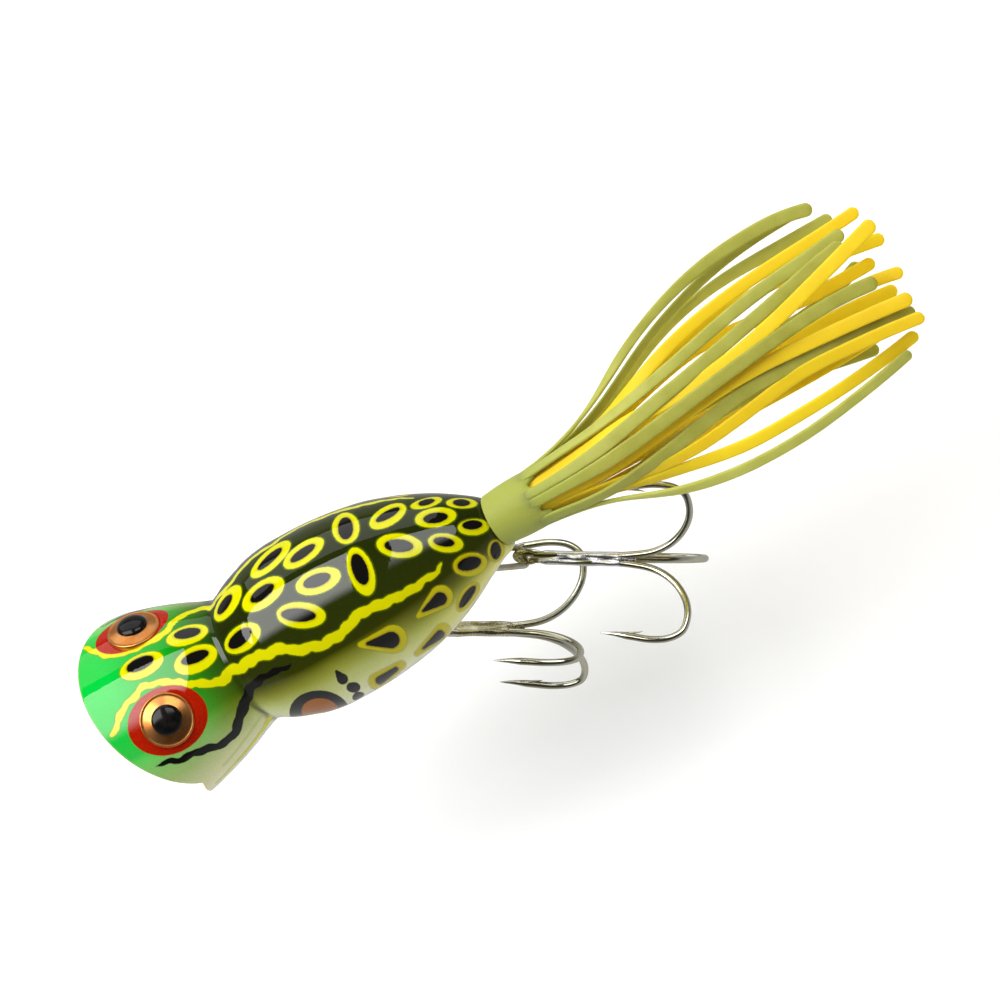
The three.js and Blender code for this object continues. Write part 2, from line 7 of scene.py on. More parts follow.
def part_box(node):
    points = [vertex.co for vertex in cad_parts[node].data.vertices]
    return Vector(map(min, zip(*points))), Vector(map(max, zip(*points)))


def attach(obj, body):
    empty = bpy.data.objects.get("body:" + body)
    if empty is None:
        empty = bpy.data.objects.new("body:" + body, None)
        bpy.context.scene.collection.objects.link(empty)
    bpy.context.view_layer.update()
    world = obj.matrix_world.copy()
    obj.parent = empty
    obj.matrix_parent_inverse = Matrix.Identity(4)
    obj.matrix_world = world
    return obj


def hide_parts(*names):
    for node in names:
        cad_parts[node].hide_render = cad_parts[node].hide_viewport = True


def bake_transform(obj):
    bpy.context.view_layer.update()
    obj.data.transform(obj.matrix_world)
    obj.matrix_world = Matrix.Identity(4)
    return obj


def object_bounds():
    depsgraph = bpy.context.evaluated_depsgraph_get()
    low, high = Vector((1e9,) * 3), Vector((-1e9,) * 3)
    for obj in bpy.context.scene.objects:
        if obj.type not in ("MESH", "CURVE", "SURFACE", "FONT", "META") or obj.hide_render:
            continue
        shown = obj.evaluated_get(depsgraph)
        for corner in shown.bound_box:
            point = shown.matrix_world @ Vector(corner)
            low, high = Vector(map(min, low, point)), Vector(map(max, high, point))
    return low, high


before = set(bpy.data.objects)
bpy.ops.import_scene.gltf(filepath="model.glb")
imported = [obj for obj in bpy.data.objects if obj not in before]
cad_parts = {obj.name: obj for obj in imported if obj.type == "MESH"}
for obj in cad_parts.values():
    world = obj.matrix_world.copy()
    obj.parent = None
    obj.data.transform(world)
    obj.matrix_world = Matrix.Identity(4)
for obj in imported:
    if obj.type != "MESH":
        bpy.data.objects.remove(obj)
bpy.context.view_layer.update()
RNG = np.random.default_rng(7)

# ------------------------------------------------------------------ placement
# Shapes are written in millimetres from the neck crease and moved to the row frame
# by S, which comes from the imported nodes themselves.
_bl, _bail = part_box("body_left"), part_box("belly_hanger_bail")
S = np.array([_bl[0][0] * 1000 + 45.2,
              (_bail[0][1] + _bail[1][1]) * 500,
              _bail[0][2] * 1000 + 15.57])
ROOT = "lure_body"

I = np.array([-0.8444, 0.3191, -0.4295])
J = np.array([0.4681, 0.8294, -0.3030])
C = np.array([-0.26, 0.457, 0.85])
C /= np.linalg.norm(C)
I -= C * (I @ C)
I /= np.linalg.norm(I)
J = np.cross(C, I)
if J @ np.array([0.4681, 0.8294, -0.3030]) < 0:
    J = -J
SC = 7.8
U0, V0 = 245.0, 659.0


def unit(v):
    v = np.asarray(v, float)
    return v / (np.linalg.norm(v, axis=-1, keepdims=True) + 1e-12)


def lin(r, g, b):
    c = np.array([r, g, b], float) / 255.0
    return np.where(c <= 0.04045, c / 12.92, ((c + 0.055) / 1.055) ** 2.4)


def sstep(a, b, x):
    t = np.clip((x - a) / (b - a), 0, 1)
    return t * t * (3 - 2 * t)


def pchip(xs, ys, x):
    xs, ys, x = np.asarray(xs, float), np.asarray(ys, float), np.asarray(x, float)
    h = np.diff(xs)
    d = np.diff(ys) / h
    m = np.zeros_like(ys)
    for k in range(1, len(xs) - 1):
        if d[k - 1] * d[k] > 0:
            w1, w2 = 2 * h[k] + h[k - 1], h[k] + 2 * h[k - 1]
            m[k] = (w1 + w2) / (w1 / d[k - 1] + w2 / d[k])
    m[0], m[-1] = d[0], d[-1]
    k = np.clip(np.searchsorted(xs, x) - 1, 0, len(h) - 1)
    t = np.clip((x - xs[k]) / h[k], 0, 1)
    return (ys[k] * (1 + 2 * t) * (1 - t) ** 2 + m[k] * h[k] * t * (1 - t) ** 2
            + ys[k + 1] * t * t * (3 - 2 * t) + m[k + 1] * h[k] * t * t * (t - 1))


def crom(points, n):
    """Centripetal-looking smooth curve through points, n samples spaced evenly by length."""
    p = np.asarray(points, float)
    s = np.concatenate([[0], np.cumsum(np.linalg.norm(np.diff(p, axis=0), axis=1) ** 0.5 + 1e-9)])
    t = np.linspace(0, s[-1], 14 * len(p))
    q = np.stack([_hermite(s, p[:, k], t) for k in range(p.shape[1])], 1)
    L = np.concatenate([[0], np.cumsum(np.linalg.norm(np.diff(q, axis=0), axis=1))])
    u = np.linspace(0, L[-1], n)
    return np.stack([np.interp(u, L, q[:, k]) for k in range(p.shape[1])], 1)


def _hermite(xs, ys, x):
    h = np.diff(xs)
    d = np.diff(ys) / h
    m = np.empty_like(ys)
    m[0], m[-1] = d[0], d[-1]
    m[1:-1] = (d[:-1] * h[1:] + d[1:] * h[:-1]) / (h[:-1] + h[1:])
    k = np.clip(np.searchsorted(xs, x) - 1, 0, len(h) - 1)
    t = (x - xs[k]) / h[k]
    return (ys[k] * (1 + 2 * t) * (1 - t) ** 2 + m[k] * h[k] * t * (1 - t) ** 2
            + ys[k + 1] * t * t * (3 - 2 * t) + m[k + 1] * h[k] * t * t * (t - 1))


# ------------------------------------------------------------------ mesh helpers
def make(name, verts, faces, material, body=ROOT, nodes=(), smooth=True, ride=True):
    me = bpy.data.meshes.new(name)
    v = (np.asarray(verts, float) + S) * 0.001
    me.from_pydata(v.tolist(), [], [list(map(int, f)) for f in faces])
    me.update()
    if smooth:
        me.polygons.foreach_set("use_smooth", [True] * len(me.polygons))
    ob = bpy.data.objects.new(name, me)
    bpy.context.scene.collection.objects.link(ob)
    me.materials.append(material)
    if ride:
        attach(ob, body)
    if nodes:
        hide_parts(*nodes)
    return ob


class Build:
    """Collects several closed skins into one mesh."""

    def __init__(self):
        self.v, self.f, self.n = [], [], 0

    def add(self, v, f):
        v = np.asarray(v, float)
        self.v.append(v)
        self.f.extend([[i + self.n for i in q] for q in f])
        self.n += len(v)
        return self

    def out(self):
        return np.concatenate(self.v), self.f


def ring_faces(rows, cols, closed=True):
    f = []
    last = cols if closed else cols - 1
    for i in range(rows - 1):
        for j in range(last):
            a, b = i * cols + j, i * cols + (j + 1) % cols
            f.append([a, b, b + cols, a + cols])
    return f


def transport(path, start):
    p = np.asarray(path, float)
    t = unit(np.gradient(p, axis=0))
    u = np.zeros_like(p)
    a = np.asarray(start, float)
    a = a - t[0] * (a @ t[0])
    u[0] = a / np.linalg.norm(a)
    for i in range(1, len(p)):
        a = u[i - 1] - t[i] * (u[i - 1] @ t[i])
        u[i] = a / (np.linalg.norm(a) + 1e-12)
    return t, u, np.cross(t, u)


def sweep(path, radius, start=(0.1, 0.2, 0.97), sides=20, aspect=1.0, cap=True, power=2.0, wide=None):
    """Tube along path. radius may be a list. wide gives a second radius along v."""
    p = np.asarray(path, float)
    n = len(p)
    r = np.broadcast_to(np.asarray(radius, float), (n,))
    w = r * aspect if wide is None else np.broadcast_to(np.asarray(wide, float), (n,))
    t, u, v = transport(p, start)
    a = np.arange(sides) * 2 * math.pi / sides
    ca = np.sign(np.cos(a)) * np.abs(np.cos(a)) ** (2 / power)
    sa = np.sign(np.sin(a)) * np.abs(np.sin(a)) ** (2 / power)
    V = (p[:, None, :] + u[:, None, :] * (r[:, None, None] * ca[None, :, None])
         + v[:, None, :] * (w[:, None, None] * sa[None, :, None])).reshape(-1, 3)
    F = ring_faces(n, sides)
    if cap:
        V = np.concatenate([V, [p[0]], [p[-1]]])
        k = n * sides
        F += [[k, (j + 1) % sides, j] for j in range(sides)]
        F += [[k + 1, (n - 1) * sides + j, (n - 1) * sides + (j + 1) % sides] for j in range(sides)]
    return V, F


def lathe(profile, p, a, sides=64):
    """Profile rows [radius, height] about axis a through p. Radius 0 rows become poles."""
    a = unit(a)
    x = np.array([0, 0, 1.0]) if abs(a[2]) < 0.9 else np.array([1.0, 0, 0])
    x = unit(x - a * (x @ a))
    y = np.cross(a, x)
    V, rows = [], []
    for r, h in profile:
        c = np.asarray(p, float) + a * h
        if r <= 1e-6:
            rows.append([len(V)])
            V.append(c)
        else:
            base = len(V)
            for j in range(sides):
                q = 2 * math.pi * j / sides
                V.append(c + (x * math.cos(q) + y * math.sin(q)) * r)
            rows.append(list(range(base, base + sides)))
    F = []
    for A, B in zip(rows[:-1], rows[1:]):
        for j in range(sides):
            k = (j + 1) % sides
            if len(A) == 1 and len(B) == 1:
                continue
            if len(A) == 1:
                F.append([A[0], B[k], B[j]])
            elif len(B) == 1:
                F.append([A[j], A[k], B[0]])
            else:
                F.append([A[j], A[k], B[k], B[j]])
    return np.array(V), F


def smooth_profile(rows, n=10):
    """Rounds a coarse profile by cutting each inner corner with a small arc; rows are [r, h, round]."""
    out = [rows[0][:2]]
    for a, b, c in zip(rows[:-2], rows[1:-1], rows[2:]):
        k = b[2] if len(b) > 2 else 0
        B = np.array(b[:2], float)
        if k <= 0:
            out.append(list(B))
            continue
        da, dc = np.array(a[:2]) - B, np.array(c[:2]) - B
        la, lc = np.linalg.norm(da), np.linalg.norm(dc)
        k = min(k, la * 0.49, lc * 0.49)
        P, Q = B + da / la * k, B + dc / lc * k
        for t in np.linspace(0, 1, 5):
            out.append(list((1 - t) ** 2 * P + 2 * t * (1 - t) * B + t * t * Q))
    out.append(rows[-1][:2])
    return out


def rrect(hl, hw, r, n=8):
    pts = []
    for cx, cy, a0 in ((hl - r, hw - r, 0), (-hl + r, hw - r, 90), (-hl + r, -hw + r, 180), (hl - r, -hw + r, 270)):
        for k in range(n + 1):
            a = math.radians(a0 + 90 * k / n)
            pts.append([cx + r * math.cos(a), cy + r * math.sin(a)])
    return np.array(pts)


# ------------------------------------------------------------------ node helpers
class Nodes:
    def __init__(self, name):
        self.m = bpy.data.materials.new(name)
        self.m.use_nodes = True
        self.t = self.m.node_tree
        self.t.nodes.clear()
        self.out = self.t.nodes.new("ShaderNodeOutputMaterial")
        self.p = self.t.nodes.new("ShaderNodeBsdfPrincipled")
        self.t.links.new(self.p.outputs[0], self.out.inputs[0])

    def link(self, a, b):
        self.t.links.new(a, b)

    def put(self, socket, value):
        if hasattr(value, "is_output") or isinstance(value, bpy.types.NodeSocket):
            self.link(value, socket)
        elif isinstance(value, (tuple, list, np.ndarray)) and len(value) == 3 and socket.type == "RGBA":
            socket.default_value = (*[float(x) for x in value], 1.0)
        else:
            socket.default_value = value

    def set(self, **kw):
        for k, v in kw.items():
            self.put(self.p.inputs[k.replace("_", " ")], v)
        return self

    def attr(self, name, out="Fac"):
        n = self.t.nodes.new("ShaderNodeAttribute")
        n.attribute_name = name
        return n.outputs[out]

    def mm(self):
        tc = self.t.nodes.new("ShaderNodeTexCoord")
        v = self.t.nodes.new("ShaderNodeVectorMath")
        v.operation = "SCALE"
        self.link(tc.outputs["Object"], v.inputs[0])
        v.inputs["Scale"].default_value = 1000.0
        return v.outputs[0]

    def noise(self, scale, detail=3.0, rough=0.55, vec=None, out="Fac", stretch=None):
        n = self.t.nodes.new("ShaderNodeTexNoise")
        vec = vec or self.mm()
        if stretch:
            mp = self.t.nodes.new("ShaderNodeMapping")
            mp.inputs["Scale"].default_value = stretch
            self.link(vec, mp.inputs[0])
            vec = mp.outputs[0]
        self.link(vec, n.inputs["Vector"])
        n.inputs["Scale"].default_value = scale
        n.inputs["Detail"].default_value = detail
        n.inputs["Roughness"].default_value = rough
        return n.outputs[out]

    def math(self, op, a, b=None, c=None, clamp=False):
        n = self.t.nodes.new("ShaderNodeMath")
        n.operation = op
        n.use_clamp = clamp
        for s, v in zip(n.inputs, (a, b, c)):
            if v is not None:
                self.put(s, v)
        return n.outputs[0]

    def ramp(self, x, lo, hi, a=0.0, b=1.0, smooth=True):
        n = self.t.nodes.new("ShaderNodeMapRange")
        n.interpolation_type = "SMOOTHSTEP" if smooth else "LINEAR"
        n.clamp = True
        for k, v in (("Value", x), ("From Min", lo), ("From Max", hi), ("To Min", a), ("To Max", b)):
            self.put(n.inputs[k], v)
        return n.outputs[0]

    def mix(self, f, a, b, mode="MIX"):
        n = self.t.nodes.new("ShaderNodeMix")
        n.data_type = "RGBA"
        n.blend_type = mode
        self.put(n.inputs[0], f)
        self.put(n.inputs[6], a)
        self.put(n.inputs[7], b)
        return n.outputs[2]

    def bump(self, h, strength, dist=0.0001, prev=None):
        n = self.t.nodes.new("ShaderNodeBump")
        n.inputs["Strength"].default_value = strength
        n.inputs["Distance"].default_value = dist
        self.link(h, n.inputs["Height"])
        if prev:
            self.link(prev, n.inputs["Normal"])
        return n.outputs[0]


# ------------------------------------------------------------------ materials
def mat_body():
    N = Nodes("painted_shell")
    mm = N.mm()
    jit = N.math("MULTIPLY", N.math("SUBTRACT", N.noise(2.2, 3, 0.6, mm), 0.5), 0.16)
    fine = N.noise(9.0, 2, 0.7, mm)
    # the paint attribute is the ground colour with painted crease shade and a painted jaw highlight mixed in
    base = N.mix(N.ramp(fine, 0.25, 0.75, 0.0, 0.22), N.attr("paint", "Color"), (0.0, 0.0, 0.0))
    speck = N.noise(22.0, 1, 0.5, mm)
    base = N.mix(N.ramp(speck, 0.62, 0.80, 0.0, 0.05), base, N.mix(0.5, base, (0.9, 0.9, 0.5)))
    dy, ty = N.math("ADD", N.attr("dy"), jit), N.attr("ty")
    dk = N.math("ADD", N.attr("dk"), jit)
    lemon, olive = tuple(lin(203, 200, 0)), tuple(lin(186, 176, 2))
    ycol = N.mix(ty, lemon, olive)
    # soft overspray outside each yellow mark
    halo = N.mix(ty, tuple(lin(96, 122, 0)), tuple(lin(132, 128, 6)))
    col = N.mix(N.ramp(dy, 0.30, 0.0, 0.0, 0.55), base, halo)
    edge = N.ramp(dk, 0.34, 0.02, 0.0, 0.55)
    ycol = N.mix(edge, ycol, N.mix(ty, tuple(lin(150, 140, 0)), tuple(lin(120, 92, 0))))
    col = N.mix(N.ramp(dy, 0.075, -0.075), col, ycol)
    col = N.mix(N.ramp(dk, 0.085, -0.085), col, (0.0042, 0.0038, 0.0030))
    org = N.mix(N.ramp(fine, 0.3, 0.7, 0.0, 0.35), tuple(lin(158, 92, 22)), tuple(lin(116, 60, 6)))
    col = N.mix(N.ramp(N.attr("do"), 0.10, -0.10), col, org)
    grit = N.ramp(N.noise(13.0, 2, 0.8, mm), 0.38, 0.68)
    red = N.mix(grit, tuple(lin(134, 12, 0)), tuple(lin(184, 36, 2)))
    col = N.mix(N.ramp(N.math("ADD", N.attr("dr"), N.math("MULTIPLY", jit, 0.5)), 0.09, -0.09), col, red)
    mouth = N.mix(N.ramp(fine, 0.3, 0.7, 0.0, 0.4), tuple(lin(190, 36, 14)), tuple(lin(150, 20, 8)))
    col = N.mix(N.attr("mouth"), col, mouth)
    col = N.mix(N.attr("rim"), col, tuple(lin(238, 176, 132)))
    peel = N.noise(0.9, 2, 0.5, mm)
    N.set(Base_Color=col, Roughness=0.42, IOR=1.46, Coat_Weight=1.0, Coat_Roughness=0.018, Coat_IOR=1.5,
          Specular_IOR_Level=0.0)
    N.put(N.p.inputs["Coat Normal"], N.bump(peel, 0.05, 0.00012))
    N.put(N.p.inputs["Normal"], N.bump(fine, 0.06, 0.00004))
    return N.m


def mat_metal(name, color, rough, grain=6.0, depth=0.06, tint=None, tint_amount=0.0, stretch=None, rough_var=0.12):
    N = Nodes(name)
    mm = N.mm()
    a = N.noise(grain, 4, 0.6, mm, stretch=stretch)
    b = N.noise(0.8, 2, 0.5, mm)
    col = N.mix(N.ramp(b, 0.35, 0.7, 0.0, tint_amount), tuple(color), tuple(tint if tint is not None else color))
    col = N.mix(N.ramp(a, 0.45, 0.8, 0.0, 0.10), col, tuple(np.array(color) * 0.45))
    N.set(Base_Color=col, Metallic=1.0, Roughness=N.ramp(a, 0.2, 0.8, rough, rough + rough_var, False))
    N.put(N.p.inputs["Normal"], N.bump(a, depth, 0.00003))
    return N.m


def mat_hook(name):
    """Bright plated wire: bronze tint by the eye and braze, silver towards the point, with painted olive shade where
    the wire is seen edge-on.
    """
    N = Nodes(name)
    mm = N.mm()
    grain = N.noise(7.0, 3, 0.6, mm)
    blot = N.noise(0.55, 3, 0.6, mm)
    silver, bronze = (0.80, 0.78, 0.66), (0.40, 0.35, 0.13)
    amount = N.math("ADD", N.attr("bronze"), N.math("MULTIPLY", N.math("SUBTRACT", blot, 0.5), 0.5), clamp=True)
    col = N.mix(amount, silver, bronze)
    # painted shade: the colour darkens to olive where the wire is seen edge-on, standing in for dark reflections along
    # its edges
    edge_shade = N.t.nodes.new("ShaderNodeLayerWeight")
    edge_shade.inputs["Blend"].default_value = 0.35
    col = N.mix(N.math("MULTIPLY", edge_shade.outputs["Facing"], 0.75), col, (0.36, 0.34, 0.14))
    N.set(Base_Color=col, Metallic=1.0, Roughness=N.ramp(grain, 0.2, 0.8, 0.09, 0.20, False))
    N.put(N.p.inputs["Normal"], N.bump(grain, 0.05, 0.00003))
    return N.m


def mat_braze():
    N = Nodes("silver_braze")
    mm = N.mm()
    a = N.noise(2.6, 6, 0.75, mm)
    b = N.noise(8.0, 3, 0.7, mm)
    h = N.math("ADD", a, N.math("MULTIPLY", b, 0.6))
    col = N.mix(N.ramp(a, 0.58, 0.80, 0.0, 0.7), (0.94, 0.93, 0.90), (0.36, 0.34, 0.22))
    N.set(Base_Color=col, Metallic=1.0, Roughness=N.ramp(b, 0.3, 0.7, 0.12, 0.30, False))
    N.put(N.p.inputs["Normal"], N.bump(h, 0.28, 0.00010))
    return N.m


def mat_copper():
    N = Nodes("copper_eye")
    mm = N.mm()
    a = N.noise(5.0, 4, 0.65, mm)
    big = N.noise(0.7, 2, 0.5, mm)
    col = N.mix(N.ramp(big, 0.3, 0.7), (0.78, 0.27, 0.06), (0.90, 0.40, 0.13))
    col = N.mix(N.ramp(a, 0.56, 0.78, 0.0, 0.16), col, (0.42, 0.16, 0.05))
    N.set(Base_Color=col, Metallic=1.0, Roughness=N.ramp(a, 0.2, 0.8, 0.26, 0.36, False))
    N.put(N.p.inputs["Normal"], N.bump(a, 0.04, 0.00002))
    return N.m


def mat_pupil():
    N = Nodes("black_pupil")
    mm = N.mm()
    a = N.noise(1.1, 2, 0.5, mm)
    N.set(Base_Color=N.mix(N.ramp(a, 0.3, 0.7), (0.003, 0.003, 0.003), (0.009, 0.008, 0.007)),
          Roughness=0.14, Specular_IOR_Level=0.28)
    N.put(N.p.inputs["Normal"], N.bump(a, 0.05, 0.0001))
    return N.m


def mat_skirt(name, light, shaded, pale, radius, trans):
    """Soft translucent elastomer: pale chalky collar, strands mixed from a lit colour towards a painted shade colour,
    light passing through.
    """
    N = Nodes(name)
    mm = N.mm()
    blot = N.noise(0.35, 2, 0.5, mm)
    fine = N.noise(6.5, 3, 0.6, mm)
    # the tone attribute sets how much painted shade each strand gets, with a random blotch on top
    tone_and_shade = N.math("ADD", N.math("MULTIPLY", N.attr("tone_and_shade"), 0.75), N.math("MULTIPLY", N.math("SUBTRACT", blot, 0.5), 0.55), clamp=True)
    col = N.mix(tone_and_shade, tuple(light), tuple(shaded))
    col = N.mix(N.ramp(N.attr("along"), 0.02, 0.26, 1.0, 0.0), col, tuple(pale))
    col = N.mix(N.ramp(fine, 0.35, 0.75, 0.0, 0.10), col, tuple(np.clip(np.array(light) * 1.3, 0, 1)))
    N.set(Base_Color=col, Roughness=N.ramp(fine, 0.2, 0.8, 0.44, 0.58, False), Subsurface_Weight=0.4,
          Subsurface_Scale=0.0007, Specular_IOR_Level=0.30, Sheen_Weight=0.12, Sheen_Roughness=0.5)
    N.p.inputs["Subsurface Radius"].default_value = radius
    N.put(N.p.inputs["Normal"], N.bump(N.math("ADD", fine, N.math("MULTIPLY", blot, 1.2)), 0.08, 0.00006))
    tr = N.t.nodes.new("ShaderNodeBsdfTranslucent")
    N.put(tr.inputs["Color"], col)
    mx = N.t.nodes.new("ShaderNodeMixShader")
    mx.inputs[0].default_value = trans
    N.link(N.p.outputs[0], mx.inputs[1])
    N.link(tr.outputs[0], mx.inputs[2])
    N.link(mx.outputs[0], N.out.inputs[0])
    return N.m


M_BODY = mat_body()
M_COPPER, M_PUPIL = mat_copper(), mat_pupil()
M_HOOK, M_BRAZE = mat_hook("bronzed_nickel"), mat_braze()
M_BRAZE2 = mat_metal("bronzed_braze", (0.74, 0.70, 0.52), 0.14, 4.0, 0.25, (0.42, 0.36, 0.12), 0.8, rough_var=0.2)
M_STEEL = mat_metal("steel_tie", (0.66, 0.66, 0.63), 0.16, 6.0, 0.05)
M_SCREW = mat_metal("steel_screw", (0.62, 0.61, 0.56), 0.22, 5.0, 0.08, stretch=(1, 4, 1))
M_WIRE = mat_metal("nickel_wire", (0.68, 0.65, 0.50), 0.12, 7.0, 0.05, (0.45, 0.40, 0.18), 0.5)
M_PLATE = mat_metal("nickel_plate", (0.66, 0.64, 0.52), 0.20, 4.0, 0.08, (0.50, 0.46, 0.28), 0.4, (1, 5, 1))
# the second colour of each skirt is its painted shade colour
M_GREEN = mat_skirt("green_skirt", lin(203, 205, 104), lin(148, 143, 2), lin(172, 180, 78), (1.0, 0.95, 0.25), 0.25)
M_YELLOW = mat_skirt("yellow_skirt", lin(250, 226, 34), lin(232, 196, 4), lin(248, 208, 30), (1.0, 0.8, 0.1), 0.25)


# ------------------------------------------------------------------ body surface
BODY = np.array([
    [-37.75, 3.4], [-37.5, 3.75], [-36.6, 4.45], [-35.5, 5.15], [-34.2, 5.92], [-31.5, 7.4],
    [-28.9, 8.6], [-26.2, 9.6], [-23.6, 10.4], [-20.9, 10.95], [-18.3, 11.32], [-15.6, 11.57],
    [-12.9, 11.66], [-10.3, 11.66], [-8.0, 11.45], [-6.3, 11.12], [-5.0, 10.7], [-3.65, 10.24],
    [-2.3, 9.7], [-1.0, 9.05], [0, 8.6]])
HEAD = np.array([
    [0, 8.6, 8.6, 8.6], [1.7, 9.27, 9.02, 9.02], [4.3, 10.5, 9.68, 9.72], [7, 11.6, 10.12, 10.25],
    [9.6, 12.48, 10.45, 10.7], [12.3, 13.2, 10.7, 11.2], [14.5, 13.38, 10.82, 11.5],
    [16.8, 13.42, 10.88, 11.5], [20, 13.45, 10.9, 11.5]])
FACE = np.array([
    [20.3, 12.4], [19.25, 10.9], [17.2, 8.0], [14.25, 4.0], [12.0, 1.0], [11.4, 0.05],
    [11.5, -0.5], [12.0, -2.4], [12.5, -6], [12.8, -12.5]])
NECK_SOFT = 0.15


def dropz(x):
    return np.where(x > -33, 0, -0.9 * np.minimum(1, np.maximum(0, (-33 - x)) / 5.2) ** 1.3)


def outer(x, phi, inset=0.0, shrink=1.0):
    x, phi = np.broadcast_arrays(np.asarray(x, float), np.asarray(phi, float))
    c, s = np.cos(phi), np.sin(phi)
    r = pchip(BODY[:, 0], BODY[:, 1], x)
    a = pchip(HEAD[:, 0], HEAD[:, 1], x)
    bt = pchip(HEAD[:, 0], HEAD[:, 2], x)
    bb = pchip(HEAD[:, 0], HEAD[:, 3], x)
    w = np.clip((c + 0.06) / 0.12, 0, 1)
    b = bb + (bt - bb) * w * w * (3 - 2 * w)
    A = np.where(x <= 0, r, a)
    B = np.where(x <= 0, r, b)
    soft = 0.10 * np.exp(-np.abs(x) / NECK_SOFT)
    A, B = A + soft - inset, B + soft - inset
    return np.stack([x, A * shrink * s, np.where(x <= 0, dropz(x), 0) + B * shrink * c], -1)


def xface(z):
    f = FACE[::-1]
    return pchip(f[:, 1], f[:, 0], z)


def rim_x(phi, inset=0.0, guess=13.0):
    x = np.full(np.shape(phi), guess)
    for _ in range(60):
        x = 0.5 * x + 0.5 * np.minimum(xface(outer(x, phi, inset)[..., 2]), 19.9)
    return x


def cam_uv(P):
    return np.stack([U0 + SC * (P @ I), V0 + SC * (P @ J)], -1)


_gx, _gp = np.meshgrid(np.linspace(-37.7, 19.5, 560), np.radians(np.linspace(-150, 170, 481)), indexing="ij")
GV = outer(_gx, _gp)
GN = unit(np.cross(np.gradient(GV, axis=0), np.gradient(GV, axis=1)))
_rad = GV.copy()
_rad[..., 0] = 0
GN *= np.sign((GN * _rad).sum(-1))[..., None]
GOK = (GV[..., 0] < xface(GV[..., 2])) & ((GN @ C) > -0.02)
GUV = cam_uv(GV)


def pick(u, v):
    """Front-facing surface point and normal under view-plane coordinates (u, v)."""
    d = np.where(GOK, np.hypot(GUV[..., 0] - u, GUV[..., 1] - v), 1e9)
    m = d.min()
    near = np.where(d < max(1.1, m * 1.05), -(GV @ C), 1e9)
    k = np.unravel_index(near.argmin() if m < 1.1 else d.argmin(), d.shape)
    return GV[k], GN[k]


# view-plane shapes: signed distances in view-plane units
def el_px(P, N, u, v, L, W, ang):
    """Ellipse seen at (u, v): measured along the view where it faces us, in the tangent plane elsewhere."""
    P0, n0 = pick(u, v)
    a = math.radians(ang)
    R = np.array([[math.cos(a), -math.sin(a)], [math.sin(a), math.cos(a)]])
    A = R @ np.diag([4 / L ** 2, 4 / W ** 2]) @ R.T
    d = P - P0
    near = (np.abs(d).max(-1) < 1.5 * L / SC + 3)
    out = np.full(len(P), 9.0)
    if not near.any():
        return out
    Pn, Nn, dn = P[near], N[near], d[near]
    if n0 @ C > 0.52:
        q = cam_uv(Pn) - np.array([u, v])
        Aq = q @ A
        f = np.sqrt(np.maximum((q * Aq).sum(-1), 1e-9))
        g = Aq / f[:, None] * SC
        g3 = g[:, :1] * I + g[:, 1:] * J
        g3 = g3 - Nn * (g3 * Nn).sum(-1)[:, None]
        sd = (f - 1) / (np.linalg.norm(g3, axis=-1) + 0.05)
        sd = np.where(Nn @ C < 0.02, 9.0, sd)
    else:
        e1 = unit(I - n0 * (I @ n0))
        e2 = np.cross(n0, e1)
        T = SC * np.array([[I @ e1, I @ e2], [J @ e1, J @ e2]])
        q = np.stack([dn @ e1, dn @ e2], -1)
        At = T.T @ A @ T
        Aq = q @ At
        f = np.sqrt(np.maximum((q * Aq).sum(-1), 1e-9))
        sd = (f - 1) / (np.linalg.norm(Aq / f[:, None], axis=-1) + 0.05)
        sd = np.where((Nn @ n0) < 0.15, 9.0, sd)
    out[near] = sd
    return out


def drop_px(P, N, a, ra, b, rb):
    """Round end a with radius ra, narrow end b with radius rb."""
    a, b = np.array(a, float), np.array(b, float)
    P0, n0 = pick(*a)
    q = cam_uv(P) - a
    ba = b - a
    h = ba @ ba
    qx = np.abs(q @ np.array([ba[1], -ba[0]])) / h
    qy = (q @ ba) / h
    bb = ra - rb
    cx, cy = math.sqrt(max(h - bb * bb, 1e-9)), bb
    k = cx * qy - cy * qx
    m = cx * qx + cy * qy
    n = qx * qx + qy * qy
    sd = np.where(k < 0, np.sqrt(h * n) - ra, np.where(k > cx, np.sqrt(np.maximum(h * (n + 1 - 2 * qy), 0)) - rb, m - ra))
    sd = sd / (SC * 0.86)
    far = (np.linalg.norm(P - P0, axis=-1) > 11) | ((N @ C) < 0.02)
    return np.where(far, 9.0, sd)


def el_surf(P, P0, n0, e1, a, b):
    e1 = unit(e1 - n0 * (e1 @ n0))
    e2 = np.cross(n0, e1)
    d = P - P0
    q = np.stack([d @ e1 / a, d @ e2 / b], -1)
    f = np.sqrt(np.maximum((q ** 2).sum(-1), 1e-9))
    g = np.stack([q[:, 0] / a, q[:, 1] / b], -1) / f[:, None]
    sd = (f - 1) / (np.linalg.norm(g, axis=-1) + 1e-6)
    return np.where(np.abs(d @ n0) > 5, 9.0, sd)


